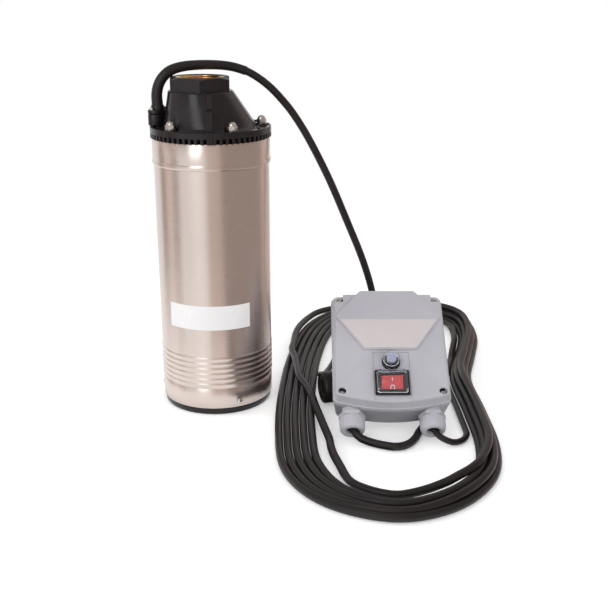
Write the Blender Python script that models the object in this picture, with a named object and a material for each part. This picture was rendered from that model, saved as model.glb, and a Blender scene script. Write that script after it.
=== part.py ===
"""Borehole submersible pump with its control box, motor cable and mains lead.

Metres, +Z up. The origin is the middle of the pump's foot, on the floor; the
cable gland side of the head faces -X and the control box stands to the +X side.
"""

import math

import bmesh
import bpy
from mathutils import Matrix, Vector

mm = 0.001
seat = 0.3 * mm  # gap between pieces that rest on or in each other
run = 0.5 * mm  # gap round what turns

# Pump barrel
shell_radius = 63.5 * mm
shell_wall = 1.0 * mm
shell_bottom = 8.0 * mm
shell_top = 306.2 * mm
socket_step = 1.0 * mm
socket_depth = 22.0 * mm
bead_height = 6.4 * mm
bead_proud = 1.8 * mm
rib_count = 6
rib_pitch = 6.2 * mm
rib_proud = 0.9 * mm
rib_first = 28.0 * mm  # above the shell's lower edge
groove_height = 24.0 * mm
foot_height = shell_bottom - seat
foot_taper = 2.5 * mm
foot_collar = 16.0 * mm
foot_screw_height = 7.0 * mm
foot_screw_angles = (27.3, 147.3, -92.7)
foot_screw_radius = 2.0 * mm

# Intake ring and head
ring_proud = 2.7 * mm  # beyond the shell
ring_inset = 2.9 * mm
ring_radius = shell_radius + ring_proud
ring_inner = shell_radius - ring_inset
ring_lip = 1.8 * mm
tooth_count = 62
tooth_height = 5.2 * mm
band_height = 6.4 * mm
flange_thickness = 3.3 * mm
flange_depth = 1.3 * mm  # flange top below the ring's lip
cone_inset = 15.5 * mm
cone_foot_radius = shell_radius - cone_inset
cone_top_radius = 34.0 * mm
cone_height = 39.0 * mm
head_wall = 3.2 * mm
outlet_inset = 53.3 * mm
outlet_offset = outlet_inset - shell_radius
hex_across = 63.0 * mm
hex_height = 14.5 * mm
thread_radius = 23.9 * mm  # G 1 1/2 female, major radius
thread_depth = 1.5 * mm
insert_wall = 3.6 * mm
insert_height = 25.0 * mm
bolt_inset = 6.8 * mm
bolt_circle = shell_radius - bolt_inset
bolt_count = 5
bolt_first = 28.8
boss_radius = 6.4 * mm
boss_height = 3.2 * mm
stud_radius = 3.0 * mm
nut_across = 10.0 * mm
nut_height = 5.0 * mm
dome_height = 5.0 * mm

# Cable entry on the head
entry_inset = 6.3 * mm
entry_x = entry_inset - shell_radius
entry_turn = 52.0
entry_half = 11.9 * mm
entry_width = 15.4 * mm
entry_height = 13.5 * mm
plate_thickness = 4.5 * mm
entry_screw_reach = 8.9 * mm
boot_radius = 6.0 * mm
boot_height = 33.0 * mm
cable_diameter = 8.6 * mm
lead_diameter = 6.8 * mm

# Motor
can_gap = 4.0 * mm  # water round the motor
can_radius = shell_radius - shell_wall - can_gap
can_wall = 1.5 * mm
can_height = 143.0 * mm
stator_height = 70.0 * mm
stator_depth = 28.5 * mm  # from the can's outside to the bore
stator_bore = can_radius - stator_depth
winding_height = 13.0 * mm
shaft_radius = 7.5 * mm
stage_shaft_radius = 6.0 * mm
bearing_radius = 17.5 * mm
bearing_width = 11.0 * mm
bracket_thickness = 16.0 * mm
oil_plate = 8.0 * mm

# Stages
stage_count = 3
stage_pitch = 27.0 * mm
casing_gap = 1.9 * mm  # inside the studs
casing_radius = bolt_circle - stud_radius - casing_gap
casing_wall = 1.5 * mm
bowl_wall = 2.5 * mm
impeller_gap = 7.5 * mm
impeller_radius = casing_radius - casing_wall - seat - bowl_wall - impeller_gap
impeller_height = 12.0 * mm
blade_count = 6
blade_thickness = 2.0 * mm
suction_gap = 18.0 * mm
suction_plate = 4.0 * mm
eye_radius = 20.0 * mm

# Control box, in its own frame: U across, V up the face, T out of the back
box_place = (196.6 * mm, -96.5 * mm, 10.1 * mm)
box_tilt = 35.0
box_width = 127.0 * mm
box_length = 141.0 * mm
box_depth = 46.5 * mm
box_parting = 32.0 * mm
box_draft = 3.6 * mm
box_bow = 8.0 * mm
box_corner = 7.0 * mm
box_wall = 2.6 * mm
plate_rise = 2.6 * mm
field_inset = 5.5 * mm
field_slant = 29.0 * mm
field_widest = 29.0 * mm  # below the box's upper edge
field_middle = 41.0 * mm
field_foot = 77.0 * mm
panel_width = 40.0 * mm
panel_length = 58.0 * mm
panel_depth = 1.2 * mm
gland_inset = 20.5 * mm
gland_reach = box_width / 2 - gland_inset
gland_level = 21.0 * mm
gland_thread = 9.6 * mm
gland_nut_radius = 14.0 * mm
gland_nut_length = 15.0 * mm
gland_hex = 26.0 * mm
gland_hex_length = 5.0 * mm
gland_pad = 3.0 * mm
screw_radius = 2.0 * mm
screw_head = 3.8 * mm
switch_width = 37.0 * mm
switch_length = 31.0 * mm
switch_rim = 2.6 * mm
switch_centre = 18.5 * mm
rocker_width = 24.0 * mm
rocker_length = 20.0 * mm
rocker_rest = 11.0
button_centre = 45.0 * mm
button_radius = 8.0 * mm
button_travel = 3.0 * mm
capacitor_gap = 3.3 * mm
capacitor_radius = (box_depth - 2 * box_wall - capacitor_gap) / 2
capacitor_length = 72.0 * mm
capacitor_inset = 39.0 * mm  # below the box's upper edge

# Cords
coil_height = 17.5 * mm
cord_spacing = 2.4  # diameters between the tube's points
plug_radius = 18.5 * mm
plug_length = 27.0 * mm
pin_radius = 2.4 * mm
pin_length = 19.0 * mm
pin_spacing = 19.0 * mm
plug_place = (122.5 * mm, -27.0 * mm)
plug_turn = 16.0

# Heights worked out from the sizes above
ring_bottom = shell_top + seat
ledge = ring_bottom + tooth_height + 1.5 * mm
lip_top = ring_bottom + tooth_height + band_height
flange_top = lip_top - flange_depth
cone_top = flange_top + cone_height
hex_top = cone_top + hex_height
boss_top = flange_top + boss_height
entry_top = flange_top + entry_height
foot_top = shell_bottom + foot_collar
can_bottom = foot_top + seat
can_top = can_bottom + can_height
stator_bottom = can_bottom + bracket_thickness + winding_height + 6.0 * mm
bracket_bottom = can_bottom + 2.0 * mm
oil_top = can_top + seat + oil_plate
suction_bottom = oil_top + suction_gap
stage_bottom = suction_bottom + suction_plate + seat
stage_top = stage_bottom + stage_count * stage_pitch

colours = {
    "stainless": ((0.62, 0.58, 0.54), 0.28, 1.0),
    "bright_steel": ((0.72, 0.71, 0.70), 0.22, 1.0),
    "black_plastic": ((0.022, 0.022, 0.024), 0.42, 0.0),
    "brass": ((0.80, 0.55, 0.22), 0.28, 1.0),
    "cast": ((0.30, 0.30, 0.31), 0.55, 0.8),
    "laminations": ((0.36, 0.36, 0.38), 0.5, 0.8),
    "copper_winding": ((0.60, 0.27, 0.12), 0.4, 0.3),
    "noryl": ((0.06, 0.07, 0.09), 0.45, 0.0),
    "rubber": ((0.03, 0.028, 0.027), 0.6, 0.0),
    "grey_plastic": ((0.47, 0.49, 0.55), 0.42, 0.0),
    "red_plastic": ((0.75, 0.03, 0.03), 0.25, 0.0),
    "clear_plastic": ((0.75, 0.78, 0.82), 0.08, 0.0),
    "white_plastic": ((0.75, 0.76, 0.78), 0.35, 0.0),
}
materials = {}


def clear_scene():
    for obj in list(bpy.data.objects):
        bpy.data.objects.remove(obj, do_unlink=True)


def make_materials():
    for name, (colour, roughness, metallic) in colours.items():
        mat = bpy.data.materials.new(name)
        mat.use_nodes = True
        shader = mat.node_tree.nodes["Principled BSDF"]
        shader.inputs["Base Color"].default_value = (*colour, 1.0)
        shader.inputs["Roughness"].default_value = roughness
        shader.inputs["Metallic"].default_value = metallic
        mat.diffuse_color = (*colour, 1.0)
        materials[name] = mat


def finished(bm, name):
    bmesh.ops.recalc_face_normals(bm, faces=bm.faces)
    mesh = bpy.data.meshes.new(name)
    bm.to_mesh(mesh)
    bm.free()
    mesh.shade_smooth()
    mesh.set_sharp_from_angle(angle=math.radians(32))
    return mesh


def part(name, bm, slot, parent=None):
    """A sub-part: its own object, with its own material."""
    obj = bpy.data.objects.new(name, finished(bm, name))
    obj.data.materials.append(materials[slot])
    obj.parent = parent
    bpy.context.scene.collection.objects.link(obj)
    return obj


def helper(name, bm, parent=None):
    """A cutter, or a solid that is joined to a sub-part."""
    obj = bpy.data.objects.new(name, finished(bm, name))
    obj.hide_render = True
    obj.display_type = "WIRE"
    obj.parent = parent
    bpy.context.scene.collection.objects.link(obj)
    return obj


def combine(obj, operation, *tools):
    for tool in tools:
        modifier = obj.modifiers.new(tool.name, "BOOLEAN")
        modifier.operation = operation
        modifier.object = tool
        modifier.solver = "EXACT"


def circle(radius, z, count, centre=(0.0, 0.0)):
    return [
        Vector((centre[0] + radius * math.cos(a), centre[1] + radius * math.sin(a), z))
        for a in (math.tau * i / count for i in range(count))
    ]


def hexagon(across, z, count=12, centre=(0.0, 0.0), turn=0.0):
    """A hexagon of COUNT points, so that it bridges to a circle of as many."""
    points = []
    for i in range(count):
        angle = math.tau * i / count
        inside = math.radians(30) - (angle % math.radians(60))
        radius = across / 2 / math.cos(inside)
        angle += turn
        x = centre[0] + radius * math.cos(angle)
        points.append(Vector((x, centre[1] + radius * math.sin(angle), z)))
    return points


def skin(loops, bm=None):
    """A closed solid: the loops joined in turn, the first and the last capped."""
    bm = bm or bmesh.new()
    rows = [[bm.verts.new(point) for point in loop] for loop in loops]
    for low, high in zip(rows, rows[1:]):
        for i, point in enumerate(low):
            j = (i + 1) % len(low)
            bm.faces.new((point, low[j], high[j], high[i]))
    bm.faces.new(list(reversed(rows[0])))
    bm.faces.new(rows[-1])
    return bm


def cylinder(radius, low, high, count=20, centre=(0.0, 0.0), bm=None):
    return skin([circle(radius, z, count, centre) for z in (low, high)], bm)


def prism(outline, low, high, bm=None):
    return skin([[Vector((x, y, z)) for x, y in outline] for z in (low, high)], bm)


def block(x, y, z, bm=None):
    """A box between two values on each axis."""
    return prism([(x[0], y[0]), (x[1], y[0]), (x[1], y[1]), (x[0], y[1])], *z, bm)


def turned(profile, count, ring=True):
    """A profile of (radius, height) spun about Z. A ring's profile is closed."""
    bm = bmesh.new()
    points = [bm.verts.new((radius, 0.0, z)) for radius, z in profile]
    edges = [bm.edges.new(pair) for pair in zip(points, points[1:])]
    if ring:
        edges.append(bm.edges.new((points[-1], points[0])))
    bmesh.ops.spin(
        bm,
        geom=points + edges,
        axis=(0, 0, 1),
        cent=(0, 0, 0),
        angle=math.tau,
        steps=count,
        use_merge=True,
    )
    bmesh.ops.remove_doubles(bm, verts=bm.verts, dist=0.001 * mm)
    return bm


def moved(bm, matrix):
    bmesh.ops.transform(bm, matrix=matrix, verts=bm.verts)
    return bm


def at_angle(angle, radius):
    """A plan point, its angle measured from -Y towards +X in degrees."""
    return (
        radius * math.sin(math.radians(angle)),
        -radius * math.cos(math.radians(angle)),
    )


def bolt_places():
    step = 360 / bolt_count
    return [at_angle(bolt_first + step * i, bolt_circle) for i in range(bolt_count)]


def frame_at(place, direction):
    """The matrix that carries +Z onto DIRECTION at PLACE."""
    turn = Vector(direction).to_track_quat("Z", "Y").to_matrix().to_4x4()
    return Matrix.Translation(place) @ turn


def stadium(half, width, turn, centre, count=6):
    """An outline with round ends, its long axis turned by TURN degrees."""
    radius = width / 2
    points = []
    for end in (1, -1):
        for i in range(count + 1):
            angle = math.pi * (i / count - 0.5)
            x = end * (half - radius + radius * math.cos(angle))
            points.append((x, end * radius * math.sin(angle)))
    c, s = math.cos(math.radians(turn)), math.sin(math.radians(turn))
    return [(centre[0] + x * c - y * s, centre[1] + x * s + y * c) for x, y in points]


# Barrel


def shell_profile():
    """The outer side of the shell, from its foot to its top edge."""
    r, z = shell_radius, shell_bottom
    points = [(r, z), (r, z + groove_height - 0.6 * mm)]
    points += [(r - 0.4 * mm, z + groove_height), (r, z + groove_height + 0.6 * mm)]
    for i in range(rib_count):
        middle = z + rib_first + rib_pitch * i
        points.append((r, middle - rib_pitch * 0.5))
        points.append((r + rib_proud, middle))
    points.append((r, z + rib_first + rib_pitch * (rib_count - 0.5)))
    bead = shell_top - socket_depth - bead_height
    points.append((r, bead))
    points.append((r + bead_proud, bead + bead_height * 0.35))
    points.append((r + bead_proud, bead + bead_height * 0.65))
    points.append((r + socket_step, bead + bead_height))
    points.append((r + socket_step, shell_top))
    return points


def screw_drills(count, radius, low, high, height, angles):
    """Radial round bars, between two radii, for the holes of radial screws."""
    bm = bmesh.new()
    for angle in angles:
        x, y = at_angle(angle, 1.0)
        bar = cylinder(radius, low, high, count)
        moved(bar, frame_at((0, 0, height), (x, y, 0)))
        mesh = finished(bar, "bar")
        bm.from_mesh(mesh)
        bpy.data.meshes.remove(mesh)
    return bm


def barrel():
    inner = shell_radius - shell_wall
    outline = shell_profile()
    top_inner = inner + socket_step
    bore = [(top_inner, shell_top), (top_inner, shell_top - socket_depth)]
    bore += [(inner, shell_top - socket_depth - bead_height), (inner, shell_bottom)]
    shell = part("shell", turned(outline + bore, 32), "stainless")
    height = shell_bottom + foot_screw_height
    drill = foot_screw_radius + seat
    low, high = inner - 8 * mm, shell_radius + 5 * mm
    holes = screw_drills(10, drill, low, high, height, foot_screw_angles)
    cutter = helper("foot_screw_holes", holes)
    combine(shell, "DIFFERENCE", cutter)

    collar = inner - seat
    outer = shell_radius - 0.7 * mm
    foot_profile = [
        (0, 0),
        (outer - foot_taper - 0.8 * mm, 0),
        (outer - foot_taper, 0.8 * mm),
        (outer, foot_height),
        (collar, foot_height),
        (collar, foot_top),
        (collar - 12 * mm, foot_top),
        (collar - 12 * mm, foot_top - 9 * mm),
        (0, foot_top - 9 * mm),
    ]
    foot = part("foot", turned(foot_profile, 32, ring=False), "black_plastic")
    combine(foot, "DIFFERENCE", cutter)

    head = 3.1 * mm
    start = low + 0.4 * mm
    rise = shell_radius + seat
    for i, angle in enumerate(foot_screw_angles):
        loops = [circle(foot_screw_radius, z, 10) for z in (start, rise)]
        loops += [circle(head, rise, 10), circle(head, rise + 1.3 * mm, 10)]
        loops.append(circle(head * 0.6, rise + 2.3 * mm, 10))
        x, y = at_angle(angle, 1.0)
        bm = moved(skin(loops), frame_at((0, 0, height), (x, y, 0)))
        part(f"foot_screw_{i + 1}", bm, "bright_steel")


# Head


def intake_ring():
    """A ring with a castellated lower edge: every second face is drawn down."""
    crown = ring_bottom + tooth_height
    lip = ring_radius - ring_lip
    profile = [(ring_inner, crown), (ring_radius, crown), (ring_radius, lip_top)]
    profile += [(lip, lip_top), (lip, ledge), (ring_inner, ledge)]
    bm = turned(profile, 2 * tooth_count)
    bm.normal_update()
    under = [f for f in bm.faces if abs(f.calc_center_median().z - crown) < 1e-6]
    under.sort(key=lambda f: math.atan2(*f.calc_center_median().yx))
    made = bmesh.ops.extrude_discrete_faces(bm, faces=under[::2])["faces"]
    points = {vert for face in made for vert in face.verts}
    bmesh.ops.translate(bm, vec=(0, 0, -tooth_height), verts=list(points))
    part("intake_ring", bm, "black_plastic")


def head_outside():
    """The solids that the moulded head is made of, beside its flange."""
    centre = (outlet_offset, 0.0)
    cone = skin(
        [
            circle(cone_foot_radius, flange_top - 3 * mm, 40),
            circle(cone_top_radius, cone_top, 40, centre),
        ]
    )
    prow = hexagon(hex_across, 0, 12, centre, math.radians(30))
    nut = prism([point.xy for point in prow], cone_top - 1 * mm, hex_top)
    corner = hex_across / 2 / math.cos(math.radians(30)) + 0.5 * mm
    land = hex_across / 2 - 1.2 * mm
    fall = (corner - land) * math.tan(math.radians(28))
    bullet = [
        (0, cone_top - 3 * mm),
        (corner, cone_top - 3 * mm),
        (corner, hex_top - fall),
        (land, hex_top),
        (0, hex_top),
    ]
    chamfer = moved(turned(bullet, 36, ring=False), Matrix.Translation((*centre, 0)))
    nut_tool = helper("outlet_hexagon", nut)
    combine(nut_tool, "INTERSECT", helper("outlet_chamfer", chamfer))

    bosses = bmesh.new()
    for place in bolt_places():
        low = flange_top - 2 * mm
        cylinder(boss_radius, low, boss_top, 12, place, bosses)
    tools = [helper("head_cone", cone), nut_tool, helper("bolt_bosses", bosses)]

    reach = ring_radius - ring_lip - seat - 1.5 * mm
    root = cone_top_radius - 4 * mm
    outline = [
        (root, flange_top - 2 * mm),
        (reach, flange_top - 2 * mm),
        (reach, flange_top + 6 * mm),
        (reach - 8 * mm, flange_top + 22 * mm),
        (cone_top_radius + 7.5 * mm, flange_top + 23 * mm),
        (cone_top_radius + 2.5 * mm, cone_top - 0.4 * mm),
        (root, cone_top - 0.4 * mm),
    ]
    half = 3.0 * mm
    loops = [[Vector((x, -r, z)) for r, z in outline] for x in (-half, half)]
    tools.append(helper("front_rib", skin(loops)))

    low = flange_top - 2 * mm
    stub = cylinder(6.6 * mm, low, flange_top + 4 * mm, 16, (entry_x, 0))
    outline = stadium(entry_half, entry_width, entry_turn, (entry_x, 0))
    pad = prism(outline, lip_top + seat, entry_top)
    return tools + [helper("entry_stub", stub), helper("entry_pad", pad)]


def head_inside():
    """The water way, the outlet socket, and the holes for studs and cable."""
    centre = (outlet_offset, 0.0)
    mouth = casing_radius - casing_wall - head_wall
    throat = thread_radius - thread_depth
    ledge_height = hex_top - insert_height - seat
    water = skin(
        [
            circle(mouth, stage_top - 10 * mm, 36),
            circle(mouth - 3 * mm, flange_top - 1 * mm, 36),
            circle(throat, ledge_height - 2 * mm, 36, centre),
            circle(throat, ledge_height + 1 * mm, 36, centre),
        ]
    )
    pocket = thread_radius + insert_wall + seat
    socket = cylinder(pocket, ledge_height, hex_top + 5 * mm, 36, centre)
    drills = bmesh.new()
    for place in bolt_places():
        drill = stud_radius + seat
        cylinder(drill, stage_top - 12 * mm, hex_top, 10, place, drills)
    for sign in (-1, 1):
        place = entry_screw(sign)
        cylinder(1.9 * mm, entry_top - 9 * mm, entry_top + 5 * mm, 10, place, drills)
    place = (entry_x, 0)
    bore = cable_diameter / 2 + seat
    cylinder(bore, flange_top - 20 * mm, entry_top + 5 * mm, 12, place, drills)
    return [
        helper("water_way", water),
        helper("outlet_pocket", socket),
        helper("head_drills", drills),
    ]


def entry_screw(sign):
    angle = math.radians(entry_turn)
    reach = sign * entry_screw_reach
    return (entry_x + reach * math.cos(angle), reach * math.sin(angle))


def head():
    spigot = casing_radius - casing_wall - seat
    mouth = spigot - head_wall
    rim = ring_radius - ring_lip - seat
    low = flange_top - flange_thickness
    profile = [
        (mouth - 1 * mm, flange_top),
        (mouth - 1 * mm, stage_top + seat),
        (spigot, stage_top + seat),
        (spigot, stage_top + 6 * mm),
        (casing_radius + 1.5 * mm, stage_top + 6 * mm),
        (casing_radius + 1.5 * mm, low),
        (rim, low),
        (rim, flange_top),
    ]
    body = part("discharge_head", turned(profile, 40), "black_plastic")
    combine(body, "UNION", *head_outside())
    combine(body, "DIFFERENCE", *head_inside())

    centre = Matrix.Translation((outlet_offset, 0, 0))
    outer = thread_radius + insert_wall
    bottom = hex_top - insert_height
    top = hex_top - 0.6 * mm
    minor = thread_radius - thread_depth
    profile = [
        (minor, bottom),
        (outer, bottom),
        (outer, bottom + 9 * mm),
        (outer - 1 * mm, bottom + 10 * mm),
        (outer - 1 * mm, bottom + 12 * mm),
        (outer, bottom + 13 * mm),
        (outer, top),
        (thread_radius + 0.4 * mm, top),
        (minor, top - 2 * mm),
    ]
    part("outlet_insert", moved(turned(profile, 32), centre), "brass")

    low = can_top + 1.5 * mm
    for i, place in enumerate(bolt_places()):
        base = boss_top + seat
        loops = [circle(stud_radius, low, 12, place)]
        loops.append(circle(stud_radius, base, 12, place))
        loops += [hexagon(nut_across, base + z, 12, place) for z in (0, nut_height)]
        for share in (0.05, 0.6, 1.0):
            radius = nut_across * 0.47 * math.sqrt(1.0 - 0.94 * share**2)
            z = base + nut_height + dome_height * share
            loops.append(circle(radius, z, 12, place))
        part(f"tie_bolt_{i + 1}", skin(loops), "bright_steel")

    entry()


def entry():
    """The clamp plate, its two screws and the sleeve round the motor cable."""
    base = entry_top + seat
    outline = stadium(entry_half, entry_width, entry_turn, (entry_x, 0))
    clamp = part(
        "gland_plate", prism(outline, base, base + plate_thickness), "black_plastic"
    )
    holes = bmesh.new()
    low, high = base - 5 * mm, base + plate_thickness + 5 * mm
    cylinder(boot_radius + seat, low, high, 16, (entry_x, 0), holes)
    for sign in (-1, 1):
        cylinder(1.9 * mm, low, high, 10, entry_screw(sign), holes)
    combine(clamp, "DIFFERENCE", helper("gland_plate_holes", holes))

    top = base + plate_thickness + seat
    for sign, name in ((-1, "gland_screw_outer"), (1, "gland_screw_inner")):
        place = entry_screw(sign)
        loops = [circle(1.6 * mm, z, 10, place) for z in (entry_top - 8 * mm, top)]
        loops += [circle(2.5 * mm, z, 10, place) for z in (top, top + 1.6 * mm)]
        loops.append(circle(1.6 * mm, top + 2.4 * mm, 10, place))
        part(name, skin(loops), "bright_steel")

    profile = [
        (cable_diameter / 2 + seat, base),
        (boot_radius, base),
        (boot_radius, base + plate_thickness + 5 * mm),
        (boot_radius - 0.6 * mm, base + boot_height - 1 * mm),
        (boot_radius - 1.2 * mm, base + boot_height),
        (cable_diameter / 2 + seat, base + boot_height),
    ]
    sleeve = moved(turned(profile, 14), Matrix.Translation((entry_x, 0, 0)))
    part("cable_boot", sleeve, "rubber")


# Motor


def motor():
    inner = can_radius - can_wall
    profile = [(inner, can_bottom), (can_radius, can_bottom)]
    profile += [(can_radius, can_top), (inner, can_top)]
    part("motor_can", turned(profile, 32), "stainless")

    fit = inner - seat
    pocket = bearing_radius + seat
    bore = shaft_radius + run
    bearing_low = bracket_bottom + 4 * mm
    profile = [
        (bore, bracket_bottom),
        (fit, bracket_bottom),
        (fit, bracket_bottom + 5 * mm),
        (pocket + 4 * mm, bracket_bottom + 9 * mm),
        (pocket + 4 * mm, bracket_bottom + bracket_thickness),
        (pocket, bracket_bottom + bracket_thickness),
        (pocket, bearing_low - seat),
        (bore, bearing_low - seat),
    ]
    part("lower_bracket", turned(profile, 28), "cast")

    top = can_top + seat
    bearing_high = can_top - 14 * mm
    chamber = stage_shaft_radius + 8 * mm
    profile = [
        (pocket, bearing_high - 3 * mm),
        (pocket + 4 * mm, bearing_high - 3 * mm),
        (pocket + 4 * mm, can_top - 6 * mm),
        (fit, can_top - 6 * mm),
        (fit, top),
        (shell_radius - shell_wall - seat, top),
        (shell_radius - shell_wall - seat, top + oil_plate),
        (chamber, top + oil_plate),
        (chamber, top + oil_plate + 4 * mm),
        (stage_shaft_radius + run, top + oil_plate + 4 * mm),
        (stage_shaft_radius + run, top + oil_plate - 2 * mm),
        (chamber, top + oil_plate - 2 * mm),
        (chamber, top + 1 * mm),
        (bore, top + 1 * mm),
        (bore, bearing_high + bearing_width + seat),
        (pocket, bearing_high + bearing_width + seat),
    ]
    plate = part("upper_bracket", turned(profile, 32), "cast")
    drills = bmesh.new()
    for place in bolt_places():
        cylinder(stud_radius + seat, top - 1 * mm, top + 20 * mm, 10, place, drills)
    combine(plate, "DIFFERENCE", helper("stud_holes", drills))

    for name, low in (("bearing_lower", bearing_low), ("bearing_upper", bearing_high)):
        ends = [(z, low + z) for z in (0, bearing_width)]
        race = shaft_radius + seat
        profile = [
            (race, ends[0][1]),
            (race + 3 * mm, ends[0][1]),
            (race + 3.6 * mm, ends[0][1] + 0.8 * mm),
            (bearing_radius - 3.6 * mm, ends[0][1] + 0.8 * mm),
            (bearing_radius - 3 * mm, ends[0][1]),
            (bearing_radius, ends[0][1]),
            (bearing_radius, ends[1][1]),
            (race, ends[1][1]),
        ]
        part(name, turned(profile, 16), "bright_steel")

    stator(fit)


def stator(fit):
    top = stator_bottom + stator_height
    profile = [(stator_bore, stator_bottom), (fit, stator_bottom)]
    profile += [(fit, top), (stator_bore, top)]
    part("stator_core", turned(profile, 28), "laminations")
    low, high = stator_bore + 4 * mm, fit - 5 * mm
    round_off = min(5 * mm, (high - low) / 3)
    for name, z, up in (
        ("winding_lower", stator_bottom - seat, -1),
        ("winding_upper", top + seat, 1),
    ):
        profile = [
            (low, z),
            (high, z),
            (high + 1 * mm, z + up * winding_height * 0.5),
            (high - round_off + 1 * mm, z + up * winding_height),
            (low + round_off, z + up * winding_height),
            (low, z + up * winding_height * 0.6),
        ]
        part(name, turned(profile, 20), "copper_winding")


def rotor():
    """Everything that turns: the shaft, the rotor, the seal and the impellers."""
    spin = bpy.data.objects.new("rotor_axis", None)
    bpy.context.scene.collection.objects.link(spin)
    low = bracket_bottom - 1 * mm
    shoulder = can_top + 6 * mm
    core = shaft_radius + 2 * mm
    top = stator_bottom + stator_height
    end = stage_top + 4 * mm
    profile = [
        (0, low),
        (shaft_radius, low),
        (shaft_radius, stator_bottom - 4 * mm),
        (core, stator_bottom - 4 * mm),
        (core, top + 2 * mm),
        (shaft_radius, top + 2 * mm),
        (shaft_radius, shoulder),
        (stage_shaft_radius, shoulder),
        (stage_shaft_radius, end),
        (0, end),
    ]
    part("shaft", turned(profile, 16, ring=False), "bright_steel", spin)

    radius = stator_bore - 0.6 * mm
    profile = [(core + seat, stator_bottom), (radius, stator_bottom)]
    profile += [(radius, top), (core + seat, top)]
    part("rotor_core", turned(profile, 20), "laminations", spin)

    hub = stage_shaft_radius + seat
    base = oil_top + seat
    face = base + 4 * mm + seat
    seal = [(hub, face), (hub + 6.5 * mm, face), (hub + 6.5 * mm, face + 5 * mm)]
    seal += [(hub + 3 * mm, face + 7 * mm), (hub, face + 7 * mm)]
    part("seal_ring", turned(seal, 12), "rubber", spin)

    for stage in range(stage_count):
        impeller(stage, spin)
    top_hub = impeller_base(stage_count - 1) + impeller_height + 5 * mm + seat
    loops = [hexagon(17 * mm, top_hub + z, 12) for z in (0, 5 * mm)]
    nut = part("shaft_nut", skin(loops), "bright_steel", spin)
    drill = cylinder(hub, top_hub - 5 * mm, top_hub + 10 * mm, 20)
    combine(nut, "DIFFERENCE", helper("shaft_nut_bore", drill))


def impeller_base(stage):
    return stage_bottom + stage * stage_pitch + bowl_wall + 1 * mm


def blade_outline():
    """A backward-swept blade in plan, at equal thickness from hub to tip."""
    inner, outer = 12 * mm, impeller_radius - 1 * mm
    sides = ([], [])
    for i in range(4):
        share = i / 3
        radius = inner + (outer - inner) * share
        angle = 1.15 * share**1.2
        half = blade_thickness / 2 / radius
        for side, sign in zip(sides, (-1, 1)):
            turn = angle + sign * half * 1.3
            side.append((radius * math.cos(turn), radius * math.sin(turn)))
    return sides[0] + sides[1][::-1]


def impeller(stage, parent):
    low = impeller_base(stage)
    hub = stage_shaft_radius + seat
    high = low + impeller_height
    profile = [
        (hub, low),
        (impeller_radius, low),
        (impeller_radius, low + 2 * mm),
        (hub + 8 * mm, low + 3.5 * mm),
        (hub + 4.5 * mm, high),
        (hub + 4.5 * mm, high + 5 * mm),
        (hub, high + 5 * mm),
    ]
    name = f"impeller_{stage + 1}"
    wheel = part(name, turned(profile, 16), "noryl", parent)
    blades = bmesh.new()
    for i in range(blade_count):
        turn = math.tau * i / blade_count
        c, s = math.cos(turn), math.sin(turn)
        outline = [(x * c - y * s, x * s + y * c) for x, y in blade_outline()]
        prism(outline, low + 1 * mm, high, blades)
    combine(wheel, "UNION", helper(name + "_blades", blades))


def stages():
    """The suction plate on its legs, the casing and a bowl for each stage."""
    rim = casing_radius
    top = suction_bottom + suction_plate
    profile = [(eye_radius, suction_bottom), (rim, suction_bottom)]
    profile += [(rim, top), (eye_radius, top)]
    plate = part("suction_plate", turned(profile, 24), "noryl")
    legs = bmesh.new()
    for i in range(4):
        place = at_angle(45 + 90 * i, rim - 7 * mm)
        cylinder(5 * mm, oil_top + seat, suction_bottom + 1 * mm, 12, place, legs)
    combine(plate, "UNION", helper("suction_legs", legs))

    inner = casing_radius - casing_wall
    high = stage_top + 5 * mm
    profile = [(inner, stage_bottom), (casing_radius, stage_bottom)]
    profile += [(casing_radius, high), (inner, high)]
    part("stage_casing", turned(profile, 32), "stainless")

    fit = inner - seat
    bore = stage_shaft_radius + 4.5 * mm + seat + run
    for stage in range(stage_count):
        low = stage_bottom + stage * stage_pitch
        high = low + stage_pitch - seat
        deck = impeller_base(stage) + impeller_height + 1 * mm
        eye = eye_radius if stage == 0 else fit - 12 * mm
        profile = [
            (eye, low),
            (fit, low),
            (fit, high),
            (fit - bowl_wall, high),
            (fit - bowl_wall - 4 * mm, high),
            (fit - bowl_wall - 4 * mm, deck + 2 * mm),
            (bore, deck + 2 * mm),
            (bore, deck),
            (fit - bowl_wall - 1 * mm, deck),
            (fit - bowl_wall, deck - 1 * mm),
            (fit - bowl_wall, low + bowl_wall),
            (eye, low + bowl_wall),
        ]
        bowl = part(f"diffuser_{stage + 1}", turned(profile, 18), "noryl")
        ports = bmesh.new()
        for i in range(blade_count):
            place = at_angle(60 * i + 30, fit - bowl_wall - 10 * mm)
            cylinder(4 * mm, deck - 3 * mm, deck + 6 * mm, 6, place, ports)
        combine(bowl, "DIFFERENCE", helper(f"diffuser_{stage + 1}_ports", ports))


# Control box


def box_outline(half, low, high, bow, corner):
    """The box in plan: round corners and a lower edge that bows out."""
    steps = 2
    corners = (
        (half - corner, high - corner, 0.0),
        (-half + corner, high - corner, 90.0),
        (-half + corner, low + corner, 180.0),
    )
    points = []
    for u, v, start in corners:
        for i in range(steps + 1):
            angle = math.radians(start + 90 * i / steps)
            points.append((u + corner * math.cos(angle), v + corner * math.sin(angle)))
    reach = half - corner
    for i in range(1, 8):
        share = i / 4 - 1
        points.append((share * reach, low - bow * (1 - share**2)))
    for i in range(steps + 1):
        angle = math.radians(270 + 90 * i / steps)
        u = half - corner + corner * math.cos(angle)
        points.append((u, low + corner + corner * math.sin(angle)))
    return points


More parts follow.
